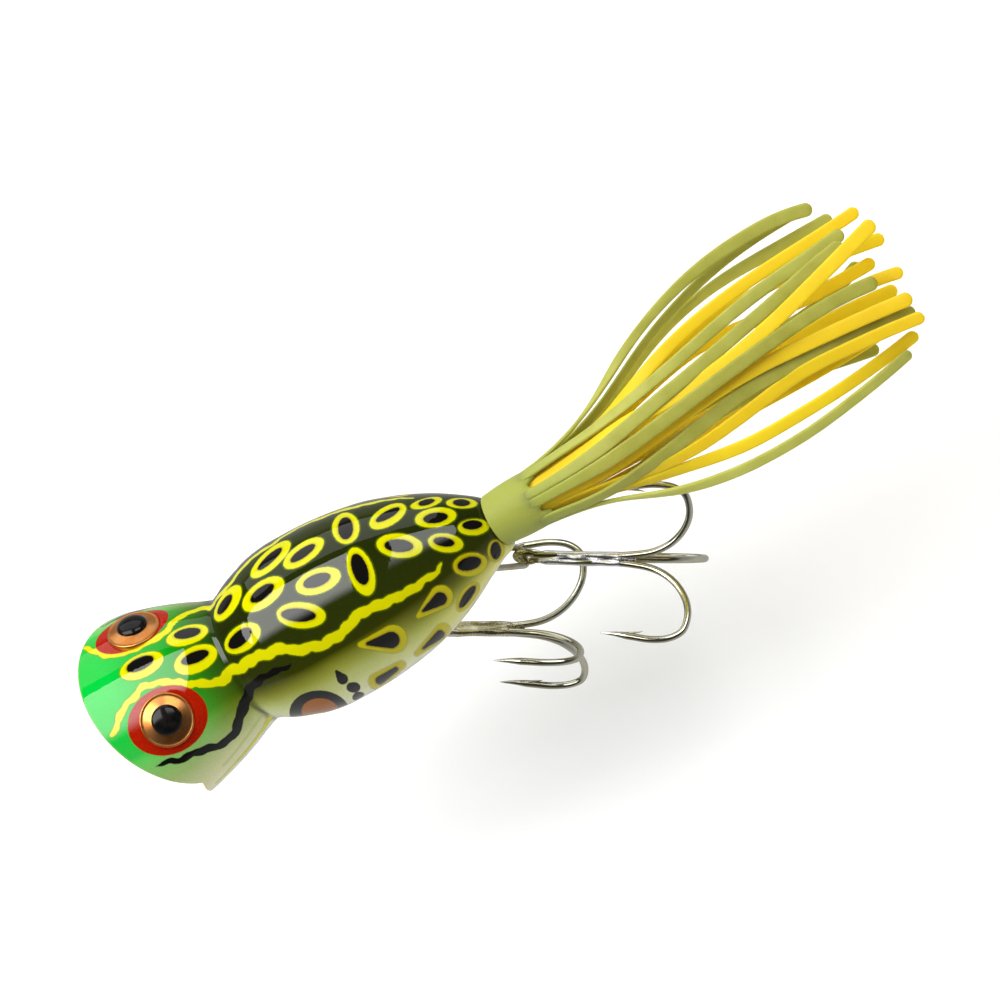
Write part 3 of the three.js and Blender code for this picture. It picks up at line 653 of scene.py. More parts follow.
def line_sd(P, pts, hw, wave=0.0, period=1.8, phase=0.0, side_phase=1.1):
    """Distance to a polyline on the surface minus its half width, with a softly wavy edge."""
    pts, hw = np.asarray(pts, float), np.asarray(hw, float)
    seg = np.linalg.norm(np.diff(pts, axis=0), axis=1)
    acc = np.concatenate([[0], np.cumsum(seg)])
    lo, hi = pts.min(0) - 3, pts.max(0) + 3
    near = ((P > lo) & (P < hi)).all(-1)
    Pn = P[near]
    best = np.full(len(Pn), 99.0)
    for k in range(len(pts) - 1):
        a, b = pts[k], pts[k + 1]
        ab = b - a
        t = np.clip(((Pn - a) @ ab) / (ab @ ab + 1e-12), 0, 1)
        d = Pn - (a + t[:, None] * ab)
        dist = np.linalg.norm(d, axis=-1)
        w = hw[k] + (hw[k + 1] - hw[k]) * t
        if wave:
            s = acc[k] + t * seg[k]
            up = np.sign(d[:, 2] + 1e-9)
            k = 2 * math.pi / period
            w = w + wave * (0.75 * np.sin(s * k + phase + up * side_phase)
                            + 0.50 * np.sin(s * k * 0.61 + 2.3 * phase + 2.0 * up)
                            + 0.35 * np.sin(s * k * 1.57 + 0.7 + 2.6 * up))
        best = np.minimum(best, dist - w)
    out = np.full(len(P), 9.0)
    out[near] = best
    return out


def picked(path, n=None):
    p = np.array([pick(u, v)[0] for u, v in path])
    return crom(p, n or max(24, int(np.linalg.norm(np.diff(p, axis=0), axis=1).sum() * 2.2)))


# u, v, length, width, angle | inner u, v, length, width, angle | olive tint
SPOTS = [
    (228.1, 603.1, 42, 18.5, -56, 224.9, 604.4, 24, 8.5, -56, 0), (271, 559.3, 52, 17.5, -42.5, 270.2, 558.8, 32.6, 8, -42.5, 0),
    (304.2, 553, 47.6, 19.5, -35, 303.3, 553, 30, 9, -35, 0), (263.8, 593.9, 49.6, 24.5, -37, 262.8, 592.9, 28.6, 12, -37, 0),
    (243.1, 637.9, 41, 25, -36, 240.6, 637.9, 29, 14, -41, 0), (346.3, 528.2, 31.2, 27.4, 90, 346, 528.2, 22.3, 15.3, 90, 0),
    (318.9, 580.8, 47, 24.5, -20, 317.6, 580.1, 29, 12.8, -20, 0), (302, 614.8, 49, 26, 3, 299.2, 614.6, 35, 13.4, 3, 0),
    (361.6, 571.2, 50, 25, 71, 360.5, 569, 32.7, 15.5, 71, 0), (388.1, 516.2, 40.3, 19.3, -29.5, 388.2, 514.6, 27, 8, -29.5, 0),
    (435.9, 517.4, 41.5, 19.3, -8, 435.7, 517.8, 25, 10.5, -8, 0), (426.4, 503, 32, 9.6, -14, 426.1, 501, 17, 6, -14, 0),
    (461.8, 503.2, 31, 10.2, 2, 461.6, 502.7, 17.2, 7.2, 2, 0), (473.7, 527, 31.3, 16.2, -3, 472.4, 524.8, 20.4, 9.6, -3, 0),
    (400, 545.5, 46, 24, 5, 399.3, 545.5, 29, 13, 3, 0), (445.9, 542.8, 35.3, 18.5, 8, 444.2, 541.7, 21.3, 9.5, 8, 0),
    (470.3, 564.3, 34, 23, -10, 469.5, 563.5, 24, 13.5, -15, 1), (495.9, 550.6, 21.5, 16, 90, 495.7, 550.4, 17.6, 10.5, 90, 1),
    (187.2, 635.3, 43.4, 18.8, -17, 187.2, 633.3, 27.5, 10, -12, 0), (195.9, 659.4, 45.8, 26, -25, 195.3, 657.2, 29.5, 11.4, -22, 0),
    (141.7, 665.9, 47, 23, -25, 140, 663.9, 30, 12.7, -25, 0),
]
SIDE_SPOTS = [(469.5, 597.6, 33, 14.7, -55, 468.2, 597.6, 26.5, 8, -55, 1)]
# round end, radius, narrow end, radius | inner
SIDE_DROPS = [
    ((441.5, 596.5), 11.6, (418.8, 615.8), 2.2, (440.3, 598.6), 6.8, (423.4, 610.6), 1.3),
    ((393.5, 638.6), 14.0, (360.8, 644.2), 2.6, (391.5, 639.5), 8.4, (368.2, 643.2), 1.8),
    ((443.2, 631.0), 8.0, (416.8, 653.6), 2.1, (440.3, 634.2), 4.4, (423.4, 648.2), 1.2),
    ((377.2, 681.2), 8.3, (401.6, 664.6), 4.2, (379.8, 680.2), 4.2, (396.2, 668.9), 2.4),
]
NEAR_STRIPE = [
    (112.9, 736), (114.9, 727.9), (118.9, 717.2), (124.3, 706.5), (132.3, 698.5), (140.4, 689.1), (151.1, 683.7),
    (161.8, 681.1), (173.8, 682.4), (187.2, 682.4), (200.6, 683.7), (214, 683.1), (223.4, 681.1), (227.4, 673.9),
    (238.3, 668.8), (248.5, 662.4), (260, 656), (271.4, 652.2), (282.9, 649), (295.7, 650.3), (308.4, 648.4),
    (321.2, 645.8), (332.7, 639.4), (342.9, 633.1), (350.5, 622.9), (360.7, 615.2), (372.2, 607.6), (385.9, 602.7),
    (396.1, 598.8), (406.3, 592.4), (416.5, 588.6), (422.9, 582.2), (431.8, 575.9), (439.5, 570.8), (442.7, 564.4)]
FAR_STRIPE = [
    (83.4, 647.6), (93.5, 651.6), (104.2, 654.3), (117.6, 653.6), (129.6, 650.3), (140.4, 644.9), (152.4, 639.6),
    (164.5, 631.5), (172.5, 622.1), (180.5, 615.4), (191.2, 610.8), (202, 607.4), (211.3, 605.4), (214, 601),
    (228, 584.6), (251, 557.8), (271.4, 543.8), (279, 538), (302, 524.6), (321, 517), (340, 509.8), (352.8, 506.4),
    (365.5, 503.4), (378.3, 500.6), (391, 498.7), (403.8, 497.2), (412.7, 497)]
BLACK_STRIPE = [
    (291.9, 663.1), (284.8, 667.6), (277.2, 671.4), (268.3, 675.3), (260.6, 679), (254.2, 684.2), (249.8, 690.6),
    (246.6, 698.2), (243.4, 708.4), (240.2, 718.6), (237.4, 728.6), (232, 738), (222, 745), (207.3, 749.4),
    (193.9, 754.7), (180.5, 760), (167.1, 762.8), (155, 768.1)]
JAW_LINE = [(271, 718.4), (263.5, 729.5), (256.5, 739.8), (250, 748.2), (243.5, 755.9), (232.8, 767.3), (222.8, 778), (216.7, 784)]
# view-plane points of a painted highlight along the inner jaw ridge
JAW_RIDGE_HIGHLIGHT = [(262, 716), (254, 728), (244, 742), (234, 755), (224, 766)]
# view-plane points of a painted shade line at the foot of the neck crease
CREASE_SHADE = [(251, 705), (256, 708.5), (262, 712), (268, 715)]

EYE_C = {"left": np.array([10.0, 6.9, 8.66]), "right": np.array([10.0, -6.9, 8.66])}
EYE_N = {"left": unit([-0.2592, 0.4636, 0.8473]), "right": unit([-0.2592, -0.4636, 0.8473])}
MIR = np.array([1.0, -1.0, 1.0])


def paint(P, N, lip):
    """Signed distances (mm) to every painted mark, and the airbrushed ground colour with painted crease shade and a
    painted jaw highlight, per vertex.
    """
    Pm, Nm = P * MIR, N * MIR
    dy = np.full(len(P), 9.0)
    dk, ty = dy.copy(), np.zeros(len(P))
    do, dr = dy.copy(), dy.copy()

    def yellow(sd, t):
        nonlocal dy, ty
        ty = np.where(sd < dy, t, ty)
        dy = np.minimum(dy, sd)

    for s in SPOTS:
        yellow(el_px(P, N, *s[:5]), s[10])
        dk = np.minimum(dk, el_px(P, N, *s[5:10]))
    for s in SIDE_SPOTS:
        for Q, M in ((P, N), (Pm, Nm)):
            yellow(el_px(Q, M, *s[:5]), s[10])
            dk = np.minimum(dk, el_px(Q, M, *s[5:10]))
    for s in SIDE_DROPS:
        for Q, M in ((P, N), (Pm, Nm)):
            yellow(drop_px(Q, M, *s[:4]), 1.0)
            dk = np.minimum(dk, drop_px(Q, M, *s[4:]))
    near, far = picked(NEAR_STRIPE), picked(FAR_STRIPE)
    L = np.linspace(0, 1, len(near))
    hw = np.interp(L, [0, .05, .28, .33, .40, .85, .95, 1], [.36, .44, .45, .60, .72, .66, .48, .18])
    yellow(line_sd(P, near, hw, 0.15, 2.5, 0.4), 0.1)
    L = np.linspace(0, 1, len(far))
    hw = np.interp(L, [0, .05, .4, .9, 1], [.3, .46, .5, .42, .15])
    yellow(line_sd(P, far, hw, 0.10, 2.4, 2.0), 0.1)
    jaw, jaw_ridge_highlight = picked(JAW_LINE, 50), picked(JAW_RIDGE_HIGHLIGHT, 40)
    black = picked(BLACK_STRIPE)
    bw = np.interp(np.linspace(0, 1, len(black)), [0, .06, .16, .3, .42, .52, .62, .76, .9, 1],
                   [.08, .40, .46, .62, .80, .76, .66, .56, .44, .1])
    crease = picked(CREASE_SHADE, 30)
    for Q, M, ph in ((P, N, 0.0), (Pm, Nm, 1.7)):
        yellow(line_sd(Q, jaw, np.interp(np.linspace(0, 1, 50), [0, .5, 1], [.52, .42, .16]), 0.04, 2.2, ph), 0.1)
        dk = np.minimum(dk, line_sd(Q, black, bw, 0.13, 2.7, 1.0 + ph))
        dk = np.minimum(dk, drop_px(Q, M, (343, 678.6), 5.6, (336.6, 670.6), 1.3))
        dk = np.minimum(dk, el_px(Q, M, 353.7, 687, 14, 11, 0))
        dk = np.minimum(dk, el_px(Q, M, 358.8, 697.3, 12.7, 7.4, -25))
        c0 = outer(-5.5, math.radians(111))
        g0 = unit(np.array([0.14, math.sin(math.radians(111)), math.cos(math.radians(111))]))
        front = (M @ C) > 0.03
        for which, (ea, eb, ec, ed) in enumerate(((30.0, 22.5, 319.5, 712.5), (18.5, 13.0, 320.0, 711.0))):
            q = cam_uv(Q) - np.array([ec, ed])
            f = np.sqrt(np.maximum((q[:, 0] / ea) ** 2 + (q[:, 1] / eb) ** 2, 1e-9))
            sd = (f - 1) * eb / (SC * 0.7)
            sd = np.where(front & (np.linalg.norm(Q - c0, axis=-1) < 9), sd, 9.0)
            low = el_surf(Q, c0, g0, np.array([1.0, 0, 0]), 3.6 if which == 0 else 2.2, 5.6 if which == 0 else 3.9)
            low = np.where((M @ C) <= 0.03, low, 9.0)
            if which == 0:
                dk = np.minimum(dk, np.minimum(sd, low))
            else:
                do = np.minimum(do, np.minimum(sd, low))
    for side in ("left", "right"):
        n0 = EYE_N[side]
        Q, M = (P, N) if side == "left" else (Pm, Nm)
        nl = EYE_N["left"]
        e1 = unit(I - nl * (I @ nl))
        e2 = np.cross(nl, e1)
        T = np.array([[I @ e1, I @ e2], [J @ e1, J @ e2]])
        w = np.linalg.solve(T, [math.cos(math.radians(-25)), math.sin(math.radians(-25))])
        ax = unit(w[0] * e1 + w[1] * e2)
        ctr = EYE_C["left"] + (T_inv_px(T, 0.7, 0.6) @ np.stack([e1, e2]))
        la, lb = 5.32, 4.36
        if side == "right":
            nr = EYE_N["right"]
            f1 = unit(I - nr * (I @ nr))
            f2 = np.cross(nr, f1)
            Tr = np.array([[I @ f1, I @ f2], [J @ f1, J @ f2]])
            dirn = np.array([math.cos(math.radians(-17)), math.sin(math.radians(-17))])
            w = np.linalg.solve(Tr, dirn)
            far_ax = w[0] * f1 + w[1] * f2
            la = 5.12 * np.linalg.norm(far_ax)
            far_ax = unit(far_ax)
            across = np.cross(nr, far_ax)
            lb = 2.22 / abs((across @ I) * -dirn[1] + (across @ J) * dirn[0])
            here = np.array(EYE_C["right"])
            want = np.linalg.solve(Tr, (np.array([130.6, 629.2]) - cam_uv(here[None])[0]) / SC)
            mirror = np.array([1.0, -1.0, 1.0])
            ax = far_ax * mirror
            ctr = (here + want[0] * f1 + want[1] * f2) * mirror
        sd = el_surf(Q, ctr, nl, ax, la, lb)
        sd = np.where((M @ nl) < 0.3, 9.0, sd)
        dr = np.minimum(dr, sd)
    # ground colour
    phi = np.degrees(np.arctan2(np.abs(P[:, 1]), P[:, 2] - np.where(P[:, 0] < 0, dropz(P[:, 0]), 0)))
    ang = [0, 30, 48, 52, 56, 60, 64, 68, 72, 78, 86, 100, 114, 140, 180]
    back = [(30, 38, 3), (38, 46, 4), (46, 52, 3), (50, 54, 3)]
    cols = {
        -38: back + [(54, 58, 3), (60, 64, 3), (72, 74, 3), (86, 88, 4), (104, 106, 6), (138, 138, 22), (184, 180, 74), (214, 210, 120), (224, 220, 150), (230, 226, 180), (230, 226, 180)],
        -27: back + [(68, 71, 5), (84, 87, 8), (103, 105, 13), (122, 125, 22), (144, 148, 38), (176, 179, 76), (202, 202, 108), (214, 212, 130), (224, 222, 160), (230, 228, 186), (230, 228, 186)],
        -20: back + [(92, 95, 14), (118, 121, 32), (140, 144, 52), (158, 163, 72), (172, 178, 90), (188, 194, 114), (200, 205, 138), (215, 218, 168), (226, 228, 194), (230, 232, 204), (230, 232, 204)],
        -13: back + [(100, 103, 14), (130, 133, 34), (152, 157, 56), (168, 174, 82), (182, 188, 106), (190, 197, 124), (202, 207, 148), (216, 219, 172), (226, 228, 196), (230, 232, 206), (230, 232, 206)],
        -1: back + [(78, 82, 6), (102, 106, 10), (126, 130, 28), (148, 154, 52), (166, 174, 84), (186, 194, 120), (200, 206, 146), (214, 218, 170), (224, 227, 190), (228, 230, 200), (228, 230, 200)],
        2.2: [(30, 84, 12), (42, 96, 14), (70, 108, 16), (86, 118, 20), (104, 128, 28), (112, 130, 34), (130, 148, 52), (146, 160, 72), (158, 170, 92), (176, 186, 120), (194, 200, 142), (212, 214, 166), (222, 224, 184), (226, 228, 196), (226, 228, 196)],
        6.5: [(3, 150, 18), (10, 152, 18), (58, 164, 46), (88, 178, 64), (110, 180, 80), (126, 180, 90), (138, 181, 98), (150, 182, 104), (160, 184, 112), (180, 193, 132), (200, 204, 150), (216, 216, 168), (224, 225, 182), (228, 229, 190), (228, 229, 190)],
        15: [(0, 192, 60), (0, 186, 54), (48, 184, 66), (86, 196, 84), (108, 192, 92), (124, 188, 98), (136, 186, 102), (148, 186, 106), (160, 188, 114), (182, 196, 136), (202, 206, 152), (218, 218, 170), (226, 226, 182), (229, 230, 190), (229, 230, 190)],
    }
    keys = sorted(cols)
    tab = np.array([[lin(*c) for c in cols[k]] for k in keys])
    bych = np.stack([np.stack([np.interp(phi, ang, tab[k, :, c]) for c in range(3)], -1) for k in range(len(keys))])
    kx = np.clip(np.interp(P[:, 0], keys, range(len(keys))), 0, len(keys) - 1.001)
    k0 = kx.astype(int)
    t = (kx - k0)[:, None]
    ground_and_shade = bych[k0, np.arange(len(P))] * (1 - t) + bych[k0 + 1, np.arange(len(P))] * t
    # the pale underside coat is nearly white, so it is lifted towards its own hue
    pale = (0.40 * sstep(0.16, 0.72, ground_and_shade.mean(-1)))[:, None]
    ground_and_shade = ground_and_shade * (1 - pale) + np.minimum(ground_and_shade * 1.55, 0.93) * pale
    # painted shade: darker in the neck crease recess and along a crease line at the foot of the neck; painted
    # highlight: a lighter line along the inner jaw ridge
    neck_crease_shade = np.exp(-(P[:, 0] / 0.42) ** 2)[:, None] * 0.55
    ground_and_shade = ground_and_shade * (1 - neck_crease_shade) + lin(34, 40, 6) * neck_crease_shade
    for Q in (P, Pm):
        # painted shade along that crease line
        k = (0.55 * sstep(0.35, 0.0, line_sd(Q, crease, np.full(len(crease), 0.05))))[:, None]
        ground_and_shade = ground_and_shade * (1 - k) + lin(70, 74, 20) * k
        # painted highlight: lighter line along the jaw ridge
        k = (0.5 * sstep(0.45, 0.0, line_sd(Q, jaw_ridge_highlight, np.full(len(jaw_ridge_highlight), 0.05))))[:, None]
        ground_and_shade = ground_and_shade * (1 - k) + lin(170, 190, 90) * k
    return dict(dy=dy, dk=dk, do=do, dr=dr, ty=ty), ground_and_shade


def T_inv_px(T, du, dv):
    return np.linalg.solve(T, np.array([du, dv]) / SC)


# hanger pads the skin flattens onto: middle, along, outward normal, length, width
PADS = [(np.array([-17.5, 0, -11.75]), np.array([1.0, 0, 0]), np.array([0, 0, -1.0]), 10.4, 5.6),
        (np.array([-32.6, 0, -7.2]), unit([0.8384, 0, -0.545]), unit([-0.545, 0, -0.8384]), 9.4, 5.2)]


def flatten_pads(V):
    for ctr, t, n, ln, wd in PADS:
        d = V - ctr
        a, b, h = np.abs(d @ t), np.abs(d[:, 1]), d @ n
        r = 1.6
        qa, qb = a - ln / 2 + r, b - wd / 2 + r
        sd = np.hypot(np.maximum(qa, 0), np.maximum(qb, 0)) + np.minimum(np.maximum(qa, qb), 0) - r
        w = (1 - sstep(-0.05, 0.55, sd)) * (np.abs(h) < 4.0)
        V = V - n * (h * w)[:, None]
    n, ctr = EYE_N["left"], EYE_C["left"]
    d = V - ctr
    h = d @ n
    rad = np.linalg.norm(d - h[:, None] * n, axis=-1)
    w = (1 - sstep(3.5, 3.9, rad)) * (np.abs(h) < 3.5)
    V = V - n * ((h - np.minimum(h, -0.04)) * w)[:, None]
    return V


def body_half(sign):
    """sign +1 is the lure's left half. Rows run from the tail hole to the tie hole in the mouth floor."""
    cols = 181
    phi = np.linspace(0, math.pi, cols)
    one = np.ones(cols)
    rows, kinds = [], []

    def put(V, kind):
        rows.append(V)
        kinds.append(kind)

    # rear face, with its rounded corner and the small lip under the collar
    edge = outer(-37.75 + 0 * phi, phi)
    lip = 0.75 * sstep(math.radians(86), math.radians(122), phi)
    for k, r in enumerate([1.86, 2.4, 2.9]):
        s = r / 3.4
        V = edge.copy()
        V[:, 1] = np.sin(phi) * r
        V[:, 2] = np.cos(phi) * r
        put(V, 0)
    for s in (3.12, 3.28, 3.4):
        V = np.stack([-37.75 + 0 * phi, np.sin(phi) * s, np.cos(phi) * s + dropz(-37.75) * (s - 2.9) / 0.5], -1)
        V[:, 0] -= lip * sstep(3.05, 3.4, s) * 0.9
        put(V, 0)
    xs = np.concatenate([np.linspace(-37.75, -36, 14)[1:], np.arange(-35.75, -1.2, 0.25), np.linspace(-1.1, 0, 15)])
    for x in xs:
        V = outer(x + 0 * phi, phi)
        V[:, 0] -= lip * sstep(-36.2, -37.6, x)
        put(V, 0)
    rim = rim_x(phi)
    back = 0.42
    for t in np.concatenate([np.linspace(0, 0.08, 13)[1:], np.linspace(0.08, 1, 62)[1:]]):
        x = t * (rim - back)
        put(outer(x, phi), 0)
    inner = rim_x(phi, 1.7)
    Vo, Vi = outer(rim, phi), outer(inner, phi, 1.7)
    A, B = outer(rim - back, phi), outer(inner - back, phi, 1.7)
    A2, B2 = Vo + (Vi - Vo) * 0.25, Vo + (Vi - Vo) * 0.75
    for t in np.linspace(0, 1, 8)[1:]:
        put((1 - t) ** 2 * A + 2 * t * (1 - t) * Vo + t * t * A2, 1)
    put(Vo + (Vi - Vo) * 0.5, 1)
    for t in np.linspace(0, 1, 8):
        put((1 - t) ** 2 * B2 + 2 * t * (1 - t) * Vi + t * t * B, 1)
    deep = 12.6
    for t in np.linspace(0, 1, 14)[1:]:
        x = (inner - back) * (1 - t) + np.minimum(deep, inner - back - 0.1) * t
        put(outer(x, phi, 1.7), 2)
    start = np.minimum(deep, inner - back - 0.1)
    for al in np.linspace(0, math.radians(73), 28)[1:]:
        g = math.cos(al)
        x = start - (start - 3.02) * math.sin(al)
        V = outer(np.minimum(start, 19.0), phi, 1.7, g)
        V[:, 0] = np.maximum(x, 3.4)
        put(V, 2)
    last = rows[-1]
    for k in (0.75, 0.5, 0.3, 0.12):
        V = last.copy()
        r = 0.55 + k * (np.hypot(last[:, 1], last[:, 2]) - 0.55)
        V[:, 0] = 3.4 + (last[:, 0] - 3.4) * k
        V[:, 1], V[:, 2] = r * np.sin(phi), r * np.cos(phi)
        put(V, 2)
    V = np.stack([3.4 * one, 0.52 * np.sin(phi), 0.52 * np.cos(phi)], -1)
    put(V, 2)
    G = np.stack(rows)
    kind = np.repeat(kinds, cols)
    flat = flatten_pads(G.reshape(-1, 3))
    flat = np.where((kind == 0)[:, None], flat, G.reshape(-1, 3))
    G = flat.reshape(G.shape)
    G[:, 0, 1] = G[:, -1, 1] = 0.004
    N = unit(np.cross(np.gradient(G, axis=1), np.gradient(G, axis=0))).reshape(-1, 3)
    P = G.reshape(-1, 3)
    rad = P * np.array([0, 1, 1])
    outside = (kind == 0)
    flip = np.where(outside, np.sign((N * rad).sum(-1) + 1e-9), 1.0)
    N = N * flip[:, None]
    f = ring_faces(len(rows), cols, closed=False)
    if sign > 0:
        f = [q[::-1] for q in f]
    P, N = P * np.array([1, sign, 1]), N * np.array([1, sign, 1])
    marks, ground_and_shade = paint(P, N, kind)
    # marks stop at the lip
    off = kind > 0
    for k in ("dy", "dk", "do", "dr"):
        marks[k] = np.where(off, np.maximum(marks[k], 0.6), marks[k])
    return P, N, f, kind, marks, ground_and_shade


def put_body(name, sign):
    P, N, f, kind, marks, ground_and_shade = body_half(sign)
    ob = make(name, P, f, M_BODY, nodes=(name,))
    me = ob.data
    for k, v in marks.items():
        a = me.attributes.new(k, "FLOAT", "POINT")
        a.data.foreach_set("value", np.ascontiguousarray(v, dtype=np.float32))
    a = me.attributes.new("mouth", "FLOAT", "POINT")
    a.data.foreach_set("value", (kind == 2).astype(np.float32))
    a = me.attributes.new("rim", "FLOAT", "POINT")
    low = sstep(-1.0, -6.0, P[:, 2]) * 0.65 + 0.2
    a.data.foreach_set("value", np.where(kind == 1, low, 0).astype(np.float32))
    a = me.attributes.new("paint", "FLOAT_COLOR", "POINT")
    a.data.foreach_set("color", np.concatenate([ground_and_shade, np.ones((len(P), 1))], 1).astype(np.float32).ravel())
    return ob


for _name, _sign in (("body_left", 1), ("body_right", -1)):
    put_body(_name, _sign)


# ------------------------------------------------------------------ eyes
for side in ("left", "right"):
    c, n = EYE_C[side], EYE_N[side]
    prof = smooth_profile([[0.0, -0.9], [3.3, -0.9], [3.52, -0.8, .1], [3.58, 0.04, .16], [3.46, 0.26, .16], [3.16, 0.20, .22],
                           [2.1, 0.56, .5], [1.9, 0.66, .1], [0.0, 0.66]])
    v, f = lathe(prof[1:-1], c, n, 96)
    make("eye_washer_" + side, v, f, M_COPPER, nodes=("eye_washer_" + side,))
    prof = [[0, -0.6], [0.5, -0.6], [0.5, 0.64], [1.9, 0.64]] + [
        [2.02 * math.cos(a), 0.74 + 0.80 * math.sin(a)] for a in np.linspace(-0.1, math.pi / 2, 16)]
    prof[-1][0] = 0
    v, f = lathe(prof, c, n, 64)
    make("eye_pupil_" + side, v, f, M_PUPIL, nodes=("eye_pin_" + side,))

# ------------------------------------------------------------------ line tie
a = np.linspace(math.pi, 3 * math.pi - 0.36, 60)
eye = np.stack([5.9 + 1.75 * np.cos(a), 0 * a, 1.75 * np.sin(a)], -1)
path = np.concatenate([[[0.5, 0, 0], [3.2, 0, 0], [3.8, 0, 0]], eye[2:]])
v, f = sweep(crom(path, 110), 0.46, (0, 1, 0), 20)
make("line_tie_eye", v, f, M_STEEL, nodes=("line_tie_eye",))
prof = smooth_profile([[0.53, 3.43], [2.2, 3.43, .05], [2.3, 3.9, .16], [0.6, 3.9, .06], [0.53, 3.5], [0.53, 3.43]])
v, f = lathe(prof, [0, 0, 0], [1, 0, 0], 72)
make("line_tie_washer", v, f, M_STEEL, nodes=("line_tie_washer",))


# ------------------------------------------------------------------ hangers
def hanger(tag, seat, t, n, drop, screw, length):
    seat, t, n = np.array(seat, float), unit(t), unit(n)
    Y = np.array([0, 1.0, 0])
    half, foot, R = 1.36, 1.8, 0.7

    def P(y, h):
        return seat + Y * y + n * h
    pts = [P(-foot, -1.6), P(-foot, 0), P(-foot, 0.7), P(-foot + 0.04, 1.0), P(-half - 0.03, drop - R - 0.4)]
    pts += [P(-half + R - R * math.cos(q), drop - R + R * math.sin(q)) for q in np.linspace(0, math.pi / 2, 6)]
    pts += [P(half - R + R * math.cos(q), drop - R + R * math.sin(q)) for q in np.linspace(math.pi / 2, 0, 6)]
    pts += [P(half + 0.03, drop - R - 0.4), P(foot - 0.04, 1.0), P(foot, 0.7), P(foot, 0), P(foot, -1.6)]
    v, f = sweep(crom(pts, 130), 0.42, n, 18)
    make(tag + "_hanger_bail", v, f, M_WIRE, nodes=(tag + "_hanger_bail",))
    # plate: rounded slab with a small bevel
    b = np.cross(n, t)
    V, F = [], []
    steps = [(0.35, 0.03), (0.0, 0.03), (0.0, 0.46), (0.06, 0.58), (0.18, 0.63), (0.5, 0.63), (2.0, 0.63)]
    cols = None
    for inset, h in steps:
        o = rrect(length / 2 - inset, 2.3 - inset, max(1.3 - inset, 0.08))
        cols = len(o)
        V.append(seat + o[:, :1] * t + o[:, 1:] * b + n * h)
    F = ring_faces(len(steps), cols)
    F.append(list(range(cols))[::-1])
    F.append([(len(steps) - 1) * cols + j for j in range(cols)])
    make(tag + "_hanger_plate", np.concatenate(V), F, M_PLATE, nodes=(tag + "_hanger_plate",))
    for k, where in ((screw, "front"), (-screw, "rear")):
        c = seat + t * k
        # domed head with a straight slot across it
        rr = [1.02, 1.05, 1.05, 0.98, 0.86, 0.7, 0.5, 0.28, 0.1]
        hh = [0.66, 0.70, 0.92, 1.08, 1.20, 1.28, 1.33, 1.36, 1.37]
        sides = 72
        V = [c + n * 0.66]
        for r, h in zip(rr, hh):
            for j in range(sides):
                q = 2 * math.pi * j / sides
                x, y = r * math.cos(q), r * math.sin(q)
                cut = 0.40 * (1 - sstep(0.12, 0.19, abs(x))) if h > 0.92 else 0.0
                V.append(c + t * x + Y * y + n * (h - cut * min(1, (h - 0.9) / 0.3)))
        V.append(c + n * 0.97)
        F = [[0, 1 + (j + 1) % sides, 1 + j] for j in range(sides)]
        F += [[q + 1 for q in ff] for ff in ring_faces(len(rr), sides)]
        last = 1 + (len(rr) - 1) * sides
        F += [[len(V) - 1, last + j, last + (j + 1) % sides] for j in range(sides)]
        make(tag + "_screw_" + where, np.array(V), F, M_SCREW,
             nodes=(tag + "_hanger_screw_" + where,))
    return seat + n * drop


BELLY_APEX = hanger("belly", [-17.5, 0, -11.75], [1, 0, 0], [0, 0, -1], 3.4, 3.45, 9.6)
TAIL_APEX = hanger("tail", [-32.6, 0, -7.2], [0.8384, 0, -0.545], [-0.545, 0, -0.8384], 6.35, 3.0, 8.6)

# ------------------------------------------------------------------ treble hooks
PRONG = [(1.35, .5), (6, .5), (11, .5), (13.9, .68), (17.0, 1.3), (19.3, 2.6), (21.0, 4.5), (21.95, 6.6), (22.1, 8.5),
         (21.6, 10.2), (20.1, 11.2), (17.8, 11.48), (15.0, 11.12), (13.0, 10.82), (11.0, 10.70)]
HR = 0.465


